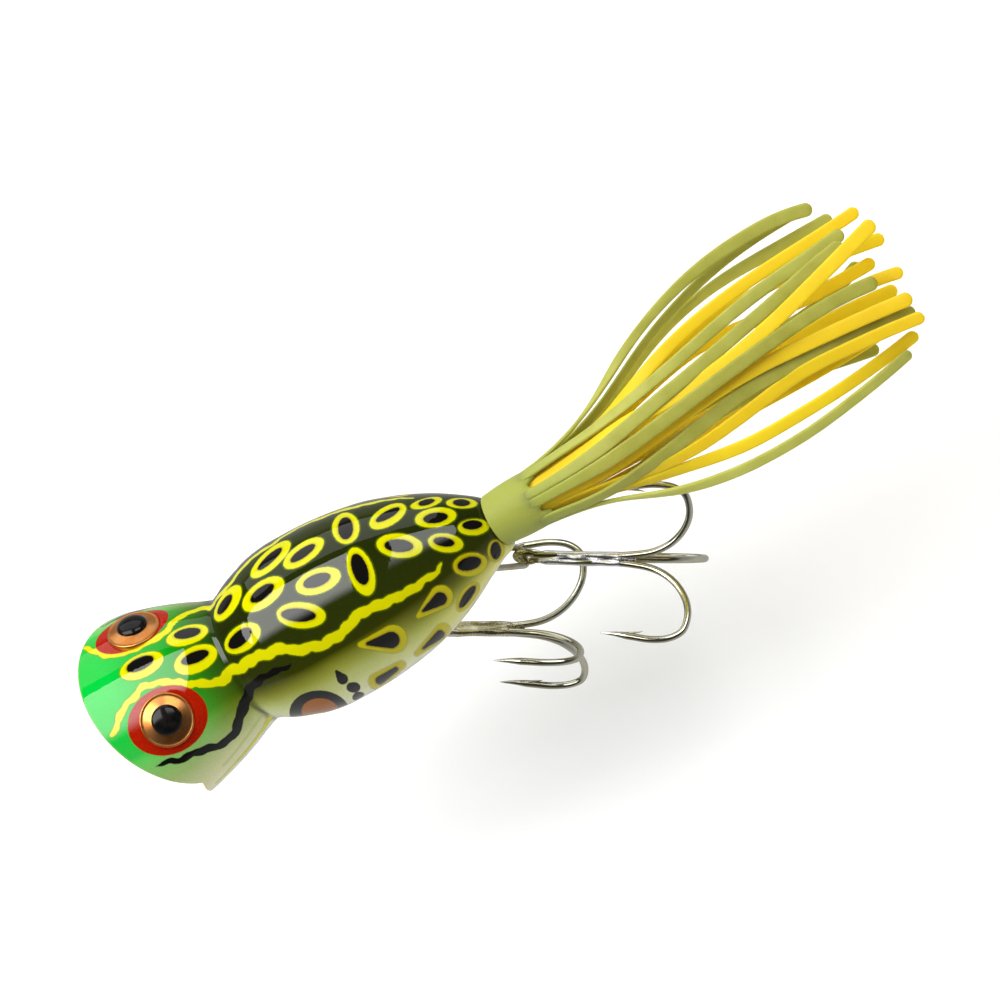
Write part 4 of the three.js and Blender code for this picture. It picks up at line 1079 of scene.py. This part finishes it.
def treble(tag, apex, direction, angles):
    d = unit(direction)
    h = unit(np.array([0, 1.0, 0]) - d * d[1])
    e = np.cross(h, d)
    up = unit(-J + d * (J @ d))
    away = np.cross(up, d)
    if away @ C > 0:
        away = -away
    outs = [up * math.cos(math.radians(q)) + away * math.sin(math.radians(q)) for q in angles]
    eye = apex + d * 0.2

    def wire(out, offset, begin):
        pts = [(u, offset if i < 3 else v) for i, (u, v) in enumerate(PRONG)]
        pts = [p for p in pts if p[0] >= begin or p[1] > 2]
        if begin > pts[0][0] - 1e-6 and pts[0][0] > begin + 0.2:
            pts = [(begin, offset)] + pts
        return [apex + d * u + out * v for u, v in pts]

    def radii(path, tips):
        p = np.asarray(path)
        L = np.concatenate([[0], np.cumsum(np.linalg.norm(np.diff(p, axis=0), axis=1))])
        r = np.full(len(p), HR)
        for end in tips:
            dist = L if end == 0 else L[-1] - L
            r = np.minimum(r, 0.028 + (HR - 0.028) * np.clip(dist / 3.5, 0, 1) ** 0.80)
        return r

    A, B, K = outs[1], outs[2], outs[0]
    # one wire: prong, shank, round the eye, back down the other shank, prong
    pa, pb = wire(A, 0.5, 3.4), wire(B, 0.5, 3.4)
    side = np.sign((A - B) @ e) or 1.0
    loop = [eye + d * (1.3 * math.cos(q)) + e * (side * 1.3 * math.sin(q)) for q in np.linspace(math.radians(38), math.radians(322), 22)]
    pa, pb = pa[::-1], pb
    path = crom(pa + loop + pb, 460)
    r = radii(path, (0, 1))
    v, f = sweep(path, r, h, 20)
    Bd = Build().add(v, f)

    def barb(out):
        side_v = np.cross(d, out)

        def Q(u, w, s):
            return apex + d * u + out * w + side_v * s
        # thin sliver lifted from the inner face, its free tip towards the bend
        base0, base1, tip = 13.7, 15.1, 16.55
        rows = []
        for t in np.linspace(0, 1, 9):
            u = base0 + (tip - base0) * t
            wi = np.interp(u, [13.0, 15, 17.8], [10.82, 11.12, 11.48]) - 0.30 * (1 - 0.2 * t)
            lift = 0.72 * t ** 1.25
            th = 0.16 * (1 - t) ** 0.7 + 0.02
            hw = 0.24 * (1 - t) ** 0.6 + 0.02
            w = wi - lift
            rows.append([Q(u, w + th, hw), Q(u, w + th, -hw), Q(u, w - th * .4, -hw * .7), Q(u, w - th * .4, hw * .7)])
        V = np.array(rows).reshape(-1, 3)
        F = ring_faces(len(rows), 4) + [[3, 2, 1, 0], [len(V) - 4, len(V) - 3, len(V) - 2, len(V) - 1]]
        return V, F

    for out in (A, B):
        Bd.add(*barb(out))
    v, f = Bd.out()
    ob = make(tag + "_treble_double_wire", v, f, M_HOOK, tag + "_treble", (tag + "_treble_double",))
    bronze(ob, apex, d)
    path = crom(wire(K, 0.66, 2.85), 240)
    r = radii(path, (1,))
    v, f = sweep(path, r, h, 20)
    Bd = Build().add(v, f)
    Bd.add(*barb(K))
    v, f = Bd.out()
    ob = make(tag + "_treble_third_wire", v, f, M_HOOK, tag + "_treble", (tag + "_treble_single",))
    bronze(ob, apex, d)
    # lumpy silver filler between the three shanks
    rng = np.random.default_rng(31 if tag == "belly" else 47)
    us = np.linspace(1.8, 14.6, 110)
    sides = 40
    angs = np.arange(sides) * 2 * math.pi / sides
    e2 = np.cross(d, h)
    V = []
    bumps = rng.normal(size=(12, 4))
    for i, u in enumerate(us):
        end = min(1.0, (u - 1.8) / 1.1, (14.6 - u) / 2.2)
        for q in angs:
            dirn = h * math.cos(q) + e2 * math.sin(q)
            best = 0.0
            for out, off in ((A, 0.5), (B, 0.5), (K, 0.66)):
                cc = out * off
                proj = cc @ dirn
                perp2 = off * off - proj * proj
                rr = HR + 0.05
                if perp2 < rr * rr:
                    best = max(best, proj + math.sqrt(rr * rr - perp2))
            best = max(best, 0.74)
            wob = sum(0.009 * b[3] * math.sin(b[0] * 1.6 * u + b[1] * 3 + q * (1 + int(abs(b[2]) * 3))) for b in bumps)
            V.append(apex + d * u + dirn * ((best + wob) * (0.55 + 0.45 * math.sqrt(max(end, 0)))))
    V = np.array(V + [apex + d * 1.8, apex + d * 14.6])
    F = ring_faces(len(us), sides)
    F += [[len(us) * sides, (j + 1) % sides, j] for j in range(sides)]
    k = (len(us) - 1) * sides
    F += [[len(us) * sides + 1, k + j, k + (j + 1) % sides] for j in range(sides)]
    make(tag + "_treble_braze", V, F, M_BRAZE if tag == "tail" else M_BRAZE2, tag + "_treble", (tag + "_treble_single",))


def bronze(ob, apex, d):
    n = len(ob.data.vertices)
    co = np.empty(n * 3)
    ob.data.vertices.foreach_get("co", co)
    P = co.reshape(-1, 3) * 1000 - S
    u = (P - apex) @ d
    w = 0.95 * sstep(6.5, 2.0, u) + 0.35 * sstep(12.5, 15.0, u) * sstep(19.5, 16.0, u)
    a = ob.data.attributes.new("bronze", "FLOAT", "POINT")
    a.data.foreach_set("value", np.clip(w, 0, 1).astype(np.float32))


treble("belly", BELLY_APEX, [-0.8556, 0.3396, -0.3906], [9.2, 129.2, 249.2])
treble("tail", TAIL_APEX, [-0.8664, 0.4170, -0.2746], [88, 208, -32])

# ------------------------------------------------------------------ skirt
AX = unit([-1, -0.034, 0.08])
AX0 = np.array([-48.2, 0, 0.0])
_axuv = np.array([AX @ I, AX @ J])
_axuv = _axuv / np.linalg.norm(_axuv)
UPN = -(I * -_axuv[1] + J * _axuv[0])
UPN = UPN if UPN @ J < 0 else -UPN


def depth_of_axis(along):
    p = AX0 + AX * along
    return p @ C


def root_dir(psi):
    """Direction across the skirt axis: 0 is the top outline of the view, 90 faces the viewer."""
    x = np.array([-1.0, 0, 0])
    up = unit(UPN - x * (UPN @ x))
    to = np.cross(x, up)
    if to @ C < 0:
        to = -to
    q = math.radians(psi)
    return up * math.cos(q) + to * math.sin(q)


def strand_path(psi, pts, tip_w, r0, r1, x0, x1, power=0.8):
    rd = root_dir(psi)
    out = [np.array([x0, 0, 0]) + rd * (r0 - 0.12), np.array([x0 * 0.6 + x1 * 0.4, 0, 0]) + rd * r0, np.array([x1, 0, 0]) + rd * r1]
    end = out[-1]
    base_w = end @ C
    p0 = cam_uv(end)
    tip = np.array(pts[-1], float)
    tot = np.linalg.norm(tip - p0)
    for uv in pts:
        uv = np.array(uv, float)
        s = np.linalg.norm(uv - p0) / tot
        if (uv - p0) @ _axuv < 10:
            continue
        along = ((uv - cam_uv(AX0)) @ _axuv) / SC / math.hypot(AX @ I, AX @ J)
        wroot = (rd @ C) * r1
        w = depth_of_axis(along) + wroot + (tip_w - wroot) * s ** power
        q = (uv - np.array([U0, V0])) / SC
        out.append(I * q[0] + J * q[1] + C * w)
    return out, rd


def ribbon(path, rd, wid, th, turn=0.0, seed=0, root=1.0, face=0.85, waist=0.0):
    """Rounded strip: wid across, th thick, flat side radial at the root and easing round further out."""
    rng = np.random.default_rng(seed)
    p = crom(path, 150)
    for _ in range(170):
        p[1:-1] = 0.25 * p[:-2] + 0.5 * p[1:-1] + 0.25 * p[2:]
    L = np.concatenate([[0], np.cumsum(np.linalg.norm(np.diff(p, axis=0), axis=1))])
    cut = L[-1] - wid * 0.55
    u = np.concatenate([np.linspace(0, cut, 110), cut + wid * 0.55 * np.sin(np.linspace(0, math.pi / 2, 12))[1:]])
    p = np.stack([np.interp(u, L, p[:, k]) for k in range(3)], 1)
    L = u
    s = L / L[-1]
    end = np.clip((L[-1] - L) / (wid * 0.5), 0, 1)
    cap = np.sqrt(np.clip(1 - (1 - end) ** 2, 0.0, 1))
    w = wid * 0.5 * (1 + 0.03 * np.sin(s * 7 + rng.uniform(0, 6))) * (root + (1 - root) * sstep(0.05, 0.3, s))
    w = w * (1 - waist * np.sin(math.pi * np.clip(s * 1.15, 0, 1)) ** 2)
    w = w * np.maximum(cap, 0.06)
    h = th * 0.5 * (0.3 + 0.7 * cap)
    t, u, v = transport(p, rd)
    q = math.radians(turn)
    goal = C[None] - t * (t @ C)[:, None]
    goal = unit(goal)
    goal = goal * math.cos(q) + np.cross(t, goal) * math.sin(q)
    goal = goal * (1.0 if (rd @ C) >= -0.3 else -1.0)
    k = (face * sstep(0.12, 0.55, s))[:, None]
    uu = unit(u * (1 - k) + goal * k)
    uu = unit(uu - t * (uu * t).sum(-1)[:, None])
    vv = np.cross(t, uu)
    sides = 16
    a = (np.arange(sides) + 0.5) * 2 * math.pi / sides
    ca = np.sign(np.cos(a)) * np.abs(np.cos(a)) ** 0.62
    sa = np.sign(np.sin(a)) * np.abs(np.sin(a)) ** 0.42
    du, dv = h[:, None] * ca[None], w[:, None] * sa[None]
    V = p[:, None] + uu[:, None] * du[..., None] + vv[:, None] * dv[..., None]
    # at the root the strip is still part of the moulded tube, so it is curved like one
    R = np.hypot(p[:, 1], p[:, 2])
    q0 = np.arctan2(p[:, 2], p[:, 1])
    tau = np.stack([0 * q0, -np.sin(q0), np.cos(q0)], -1)
    sg = np.sign((vv * tau).sum(-1))
    qq = q0[:, None] + sg[:, None] * dv / np.maximum(R, 1.0)[:, None]
    rr = R[:, None] + du
    arc = np.stack([p[:, :1] + 0 * rr, rr * np.cos(qq), rr * np.sin(qq)], -1)
    k = sstep(-45.5, -51.0, p[:, 0])[:, None, None]
    V = (arc * (1 - k) + V * k).reshape(-1, 3)
    F = ring_faces(len(p), sides)
    F.append(list(range(sides))[::-1])
    F.append([(len(p) - 1) * sides + j for j in range(sides)])
    return V, F, np.repeat(s, sides)


def collar(prof):
    p = smooth_profile(prof)
    v, f = lathe([[r, h] for r, h in p], [-37.75, 0, 0], [-1, 0, 0], 96)
    return v, f


# psi at the collar, view-plane centre line, depth of the tip off the axis, turn, width
POWER = {(False, 55): 1.25, (True, 145): 0.9, (False, 142): 3.0, (False, 112): 1.9, (False, 168): 2.4}
WAIST = {0: 0.34, -28: 0.36, -56: 0.22, 28: 0.10}
GREEN = [
    (0, [(559, 445), (575.6, 425.5), (589, 410), (613.7, 366), (638.7, 329.4), (673.9, 289.8), (712, 257.5), (756, 231), (778.7, 216.6), (809, 211)], -1.0, 15, 1.85),
    (-28, [(603.5, 404.2), (628.4, 364), (655, 328), (690, 291), (728, 256), (768, 229), (797, 212)], -3.6, 10, 1.6),
    (-56, [(640, 358), (656, 337), (708, 289), (748, 265), (786, 244), (829, 219.5)], -5.6, 0, 1.7),
    (28, [(602, 424), (640, 392), (677, 360.9), (714, 327.6), (769.5, 283.2), (815.7, 253.6), (838.8, 235.1)], 2.6, 10, 1.8),
    (77, [(587.4, 459.2), (616.7, 437.2), (640, 414.5), (686.2, 377.5), (732.5, 336.9), (778.7, 298), (815.7, 262.9), (838, 247)], 4.6, 0, 1.9),
    (-84, [(714, 377), (769.5, 336.9), (815.7, 311), (856.4, 264.7)], -7.0, 0, 1.8),
    (96, [(572.7, 481.2), (602, 466.5), (631.4, 444.5), (653.4, 428.4), (677, 411), (723, 375.7), (788, 329.5), (825, 305.4), (862, 286.9), (872, 284)], 6.1, 0, 1.9),
    (145, [(563.9, 516.4), (594.7, 501.8), (624, 482.7), (653.4, 462.1), (675.4, 446), (700, 426.9), (751, 385), (806.5, 360.9), (871, 326), (910, 312.8)], 3.2, -6, 1.9),
    (172, [(616.7, 497.4), (646, 495.9), (675.4, 493), (700, 485.5), (731.5, 474.5), (760, 461.7), (785.7, 445.8), (809.6, 433), (833.5, 414), (862, 391.6), (880.4, 377.5), (906.3, 353.5)], 0.5, 12, 1.5),
    (-112, [(720, 402), (790, 362), (840, 330), (878, 300)], -6.6, 0, 1.7),
    (-163, [(690, 430), (722, 411), (753.8, 393), (806, 372), (852, 358), (876, 349)], -4.5, 0, 1.7),
]
YELLOW = [
    (20, [(597, 428), (640, 377.5), (677, 336.9), (732.5, 292.5), (788, 255.5), (825, 233.3), (854, 213)], -0.8, 12, 1.75),
    (55, [(596, 445), (624, 421), (667.7, 403.4), (723.2, 364.6), (769.5, 325.8), (815.7, 279.5), (843.4, 251.8), (868, 226)], 7.9, 0, 2.0),
    (-20, [(700, 330), (760, 290), (820, 262), (862, 246), (880.4, 240)], -3.6, 0, 1.7),
    (-55, [(700, 345), (760, 320), (812, 297), (850.8, 275), (871.2, 262.9)], -5.0, 0, 1.7),
    (85, [(640, 437), (700, 398), (760, 352), (820, 308), (865.6, 283), (898, 274)], 3.0, 0, 1.7),
    (-90, [(700, 390), (760, 359), (806.5, 333.2), (852.7, 307.3), (893.4, 290.6)], -3.0, 0, 1.8),
    (112, [(620, 463), (695.5, 405.3), (751, 370.2), (806.5, 344.3), (862, 318.4), (906.3, 299.9)], 5.6, 0, 1.9),
    (142, [(630, 478), (690, 453.8), (722, 430), (753.8, 407.5), (797.2, 372), (834.2, 355.4), (880.4, 333.2), (918.3, 318.4)], 5.6, 8, 1.75),
    (168, [(640, 484), (690, 465), (717, 457), (753.8, 442.6), (785.7, 421.9), (817.5, 404.3), (843.4, 386.8), (880.4, 360.9), (912.8, 335)], 0.2, 10, 1.75),
    (-125, [(700, 420), (760, 385), (820, 352), (880, 312)], -4.4, 0, 1.6),
    (-158, [(700, 436), (760, 404), (825, 368), (892, 326)], -3.0, 0, 1.6),
]


def skirt(name, strands, tube, r_root, x0, x1, r_end, material, nodes, th, root=None):
    B = Build()
    v, f = collar(tube)
    if th > 0.54:
        x = np.array([-1.0, 0, 0])
        up, to = root_dir(0), root_dir(90)
        ang = np.degrees(np.arctan2(v @ to, v @ up))
        far = np.full(len(v), 1.0)
        for c0 in (55.0, 118.0):
            far = np.minimum(far, np.clip(np.abs(ang - c0) / 14.0, 0, 1) ** 2.2)
        hh = -37.75 - v[:, 0]
        v = v + x * ((1.15 * far - 0.15) * sstep(5.0, 7.2, hh))[:, None]
    B.add(v, f)
    along, tone_and_shade = [np.zeros(len(v))], [np.full(len(v), 0.1)]
    rng = np.random.default_rng(len(strands) + 5)
    for k, (psi, pts, w, turn, wid) in enumerate(strands):
        path, rd = strand_path(psi, pts, w, r_root, r_end, x0, x1, POWER.get((th > 0.54, psi), 0.8))
        v, f, s = ribbon(path, rd, wid, th, turn, 100 + k, (root or {}).get(psi, 1.0), 0.85, WAIST.get(psi, 0.06) if th > 0.54 else 0.05)
        B.add(v, f)
        along.append(s)
        # random tone per strand plus painted shade that deepens towards the tips; strands on the side away from the
        # viewer get less
        tone_and_shade.append(np.clip(0.22 + rng.uniform(-0.25, 0.40) + 0.38 * s - (0.12 if rd @ C < -0.2 else 0), 0, 1))
    v, f = B.out()
    ob = make(name, v, f, material, nodes=nodes, ride=False)
    for key, val in (("along", np.concatenate(along)), ("tone_and_shade", np.concatenate(tone_and_shade))):
        at = ob.data.attributes.new(key, "FLOAT", "POINT")
        at.data.foreach_set("value", val.astype(np.float32))
    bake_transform(ob)
    return ob


skirt("skirt_green", GREEN,
      [[2.66, 0.13], [3.3, 0.13, .0], [3.50, 0.30, .12], [3.66, 1.6, .6], [3.80, 3.2, .6], [3.86, 5.2, .8], [3.78, 6.4, .5], [3.52, 7.1, .2], [3.1, 7.15, .1], [2.66, 5.8], [2.66, 0.13]],
      3.54, -42.4, -48.0, 3.95, M_GREEN, ("skirt_outer_collar", "skirt_outer_strands"), 0.56, {77: 0.68, 96: 0.68})
skirt("skirt_yellow", YELLOW,
      [[1.88, 0.13], [2.55, 0.13, .05], [2.60, 0.5], [2.60, 8.8, .2], [2.2, 9.4, .15], [2.12, 8.0], [1.9, 4.0], [1.88, 0.13]],
      2.60, -42.0, -49.0, 2.95, M_YELLOW, ("skirt_inner_collar", "skirt_inner_strands"), 0.52)

# ------------------------------------------------------------------ camera
mid_uv = (np.array([500.0, 500.0]) - np.array([U0, V0])) / SC
body_mid = np.array([-22.0, 0, 0.0]) @ C
aim = (I * mid_uv[0] + J * mid_uv[1] + C * body_mid + S) * 0.001
WIDTH = 1000 / SC * 0.001
LENS = 600.0
dist = WIDTH * LENS / 36.0
cam = bpy.data.cameras.new("camera")
cam.lens = LENS
cam.sensor_width = 36.0
cam.clip_start, cam.clip_end = 0.05, 50
co = bpy.data.objects.new("camera", cam)
bpy.context.scene.collection.objects.link(co)
right, up, back = I, -J, np.cross(I, -J)
M = Matrix(((right[0], up[0], back[0]), (right[1], up[1], back[1]), (right[2], up[2], back[2])))
co.matrix_world = Matrix.Translation(Vector(aim + back * dist)) @ M.to_4x4()
bpy.context.scene.camera = co


# ------------------------------------------------------------------ lights
def panel(name, direction, size_x, size_y, radiance, distance=0.45, fade=None, colour=(1, 1, 1), toward=None, rot_axis=None, glossy=True, diffuse=True):
    d = unit(direction)
    lt = bpy.data.lights.new(name, "AREA")
    lt.shape = "RECTANGLE"
    lt.size, lt.size_y = size_x, size_y
    lt.energy = radiance * math.pi * size_x * size_y
    lt.color = colour
    ob = bpy.data.objects.new(name, lt)
    bpy.context.scene.collection.objects.link(ob)
    z = d
    x = unit(np.array(rot_axis if rot_axis is not None else [1.0, 0, 0]) - z * (z @ np.array(rot_axis if rot_axis is not None else [1.0, 0, 0])))
    y = np.cross(z, x)
    centre = S * 0.001 + np.array([-0.012, 0, 0])
    ob.matrix_world = Matrix.Translation(Vector(centre + d * distance)) @ Matrix(
        ((x[0], y[0], z[0]), (x[1], y[1], z[1]), (x[2], y[2], z[2]))).to_4x4()
    ob.visible_camera = False
    ob.visible_glossy = glossy
    ob.visible_diffuse = diffuse
    if fade:
        lt.use_nodes = True
        nt = lt.node_tree
        em = next(n for n in nt.nodes if n.type == "EMISSION")
        g = nt.nodes.new("ShaderNodeNewGeometry")
        sx = nt.nodes.new("ShaderNodeSeparateXYZ")
        nt.links.new(g.outputs["Position"], sx.inputs[0])
        axis, a0, a1, v0, v1 = fade
        mr = nt.nodes.new("ShaderNodeMapRange")
        mr.interpolation_type = "SMOOTHSTEP"
        mr.inputs["From Min"].default_value = a0
        mr.inputs["From Max"].default_value = a1
        mr.inputs["To Min"].default_value = v0
        mr.inputs["To Max"].default_value = v1
        nt.links.new(sx.outputs[axis], mr.inputs["Value"])
        nt.links.new(mr.outputs[0], em.inputs["Strength"])
    return ob


H = 0.45
cx, cy, cz = S * 0.001 + np.array([-0.012, 0, 0])


def flat_panel(name, x0, x1, y0, y1, radiance, fade=None, **kw):
    """Panel in the plane z = H above the lure, given by its x/z and y/z slopes."""
    ob = panel(name, (0, 0, 1), (x1 - x0) * H, (y1 - y0) * H, radiance, H, fade, **kw)
    ob.location = Vector((cx + (x0 + x1) / 2 * H, cy + (y0 + y1) / 2 * H, cz + H))
    return ob


flat_panel("light_top", -0.05, 1.3, -0.62, 0.40, 5.0, fade=(1, cy + 0.12 * H, cy + 0.40 * H, 1.0, 0.0))
flat_panel("light_top_rear", -1.4, -0.40, -0.5, 0.34, 3.7, fade=(1, cy - 0.12 * H, cy + 0.34 * H, 1.0, 0.0))
panel("light_far", (0.0, -1.75, 1.0), 0.75, 0.42, 1.0, 0.6)

# ------------------------------------------------------------------ surroundings
world = bpy.data.worlds.new("studio")
bpy.context.scene.world = world
world.use_nodes = True
nt = world.node_tree
nt.nodes.clear()
wo = nt.nodes.new("ShaderNodeOutputWorld")
tc = nt.nodes.new("ShaderNodeTexCoord")
sep = nt.nodes.new("ShaderNodeSeparateXYZ")
nt.links.new(tc.outputs["Generated"], sep.inputs[0])


def wramp(sock, a, b, va, vb):
    n = nt.nodes.new("ShaderNodeMapRange")
    n.interpolation_type = "SMOOTHSTEP"
    for k, v in (("From Min", a), ("From Max", b), ("To Min", va), ("To Max", vb)):
        n.inputs[k].default_value = v
    nt.links.new(sock, n.inputs["Value"])
    return n.outputs[0]


gloss = nt.nodes.new("ShaderNodeBackground")
low = wramp(sep.outputs["Z"], -0.55, -0.12, 0.62, 0.34)
high = wramp(sep.outputs["Z"], -0.02, 0.16, 1.0, 0.14)
mul = nt.nodes.new("ShaderNodeMath")
mul.operation = "MULTIPLY"
nt.links.new(low, mul.inputs[0])
nt.links.new(high, mul.inputs[1])
nt.links.new(mul.outputs[0], gloss.inputs["Strength"])
soft = nt.nodes.new("ShaderNodeBackground")
nt.links.new(wramp(sep.outputs["Z"], -0.4, 0.6, 0.90, 0.44), soft.inputs["Strength"])
seen = nt.nodes.new("ShaderNodeBackground")
seen.inputs["Strength"].default_value = 1.0
seen.inputs["Color"].default_value = (0.985, 0.985, 0.985, 1)
lp = nt.nodes.new("ShaderNodeLightPath")
m1, m2 = nt.nodes.new("ShaderNodeMixShader"), nt.nodes.new("ShaderNodeMixShader")
nt.links.new(lp.outputs["Is Glossy Ray"], m1.inputs[0])
nt.links.new(soft.outputs[0], m1.inputs[1])
nt.links.new(gloss.outputs[0], m1.inputs[2])
nt.links.new(lp.outputs["Is Camera Ray"], m2.inputs[0])
nt.links.new(m1.outputs[0], m2.inputs[1])
nt.links.new(seen.outputs[0], m2.inputs[2])
nt.links.new(m2.outputs[0], wo.inputs[0])

# floor
lo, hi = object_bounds()
FZ = lo[2] - 0.012
N = Nodes("floor")
N.set(Base_Color=N.mix(N.noise(0.02, 2, 0.5), (0.80, 0.80, 0.80), (0.82, 0.82, 0.82)), Roughness=0.9, Specular_IOR_Level=0.0)
em = N.t.nodes.new("ShaderNodeEmission")
em.inputs["Color"].default_value = (1, 1, 1, 1)
em.inputs["Strength"].default_value = 0.10
ad = N.t.nodes.new("ShaderNodeAddShader")
N.link(N.p.outputs[0], ad.inputs[0])
N.link(em.outputs[0], ad.inputs[1])
far = N.t.nodes.new("ShaderNodeEmission")
far.inputs["Color"].default_value = (0.985, 0.985, 0.985, 1)
far.inputs["Strength"].default_value = 1.0
ge = N.t.nodes.new("ShaderNodeNewGeometry")
ln = N.t.nodes.new("ShaderNodeVectorMath")
ln.operation = "LENGTH"
N.link(ge.outputs["Position"], ln.inputs[0])
mp = N.t.nodes.new("ShaderNodeMapRange")
mp.interpolation_type = "SMOOTHSTEP"
for key, val in (("From Min", 0.10), ("From Max", 0.34), ("To Min", 0.0), ("To Max", 1.0)):
    mp.inputs[key].default_value = val
N.link(ln.outputs["Value"], mp.inputs["Value"])
ray = N.t.nodes.new("ShaderNodeLightPath")
cam_only = N.t.nodes.new("ShaderNodeMath")
cam_only.operation = "MULTIPLY"
N.link(mp.outputs[0], cam_only.inputs[0])
N.link(ray.outputs["Is Camera Ray"], cam_only.inputs[1])
mixer = N.t.nodes.new("ShaderNodeMixShader")
N.link(cam_only.outputs[0], mixer.inputs[0])
N.link(ad.outputs[0], mixer.inputs[1])
N.link(far.outputs[0], mixer.inputs[2])
N.link(mixer.outputs[0], N.out.inputs[0])
me = bpy.data.meshes.new("floor")
q = 6.0
me.from_pydata([(-q, -q, FZ), (q, -q, FZ), (q, q, FZ), (-q, q, FZ)], [], [(0, 1, 2, 3)])
fl = bpy.data.objects.new("floor", me)
bpy.context.scene.collection.objects.link(fl)
me.materials.append(N.m)
fl.visible_glossy = False

bpy.context.scene.view_settings.view_transform = "Standard"
bpy.context.scene.view_settings.look = "None"

bpy.context.view_layer.update()
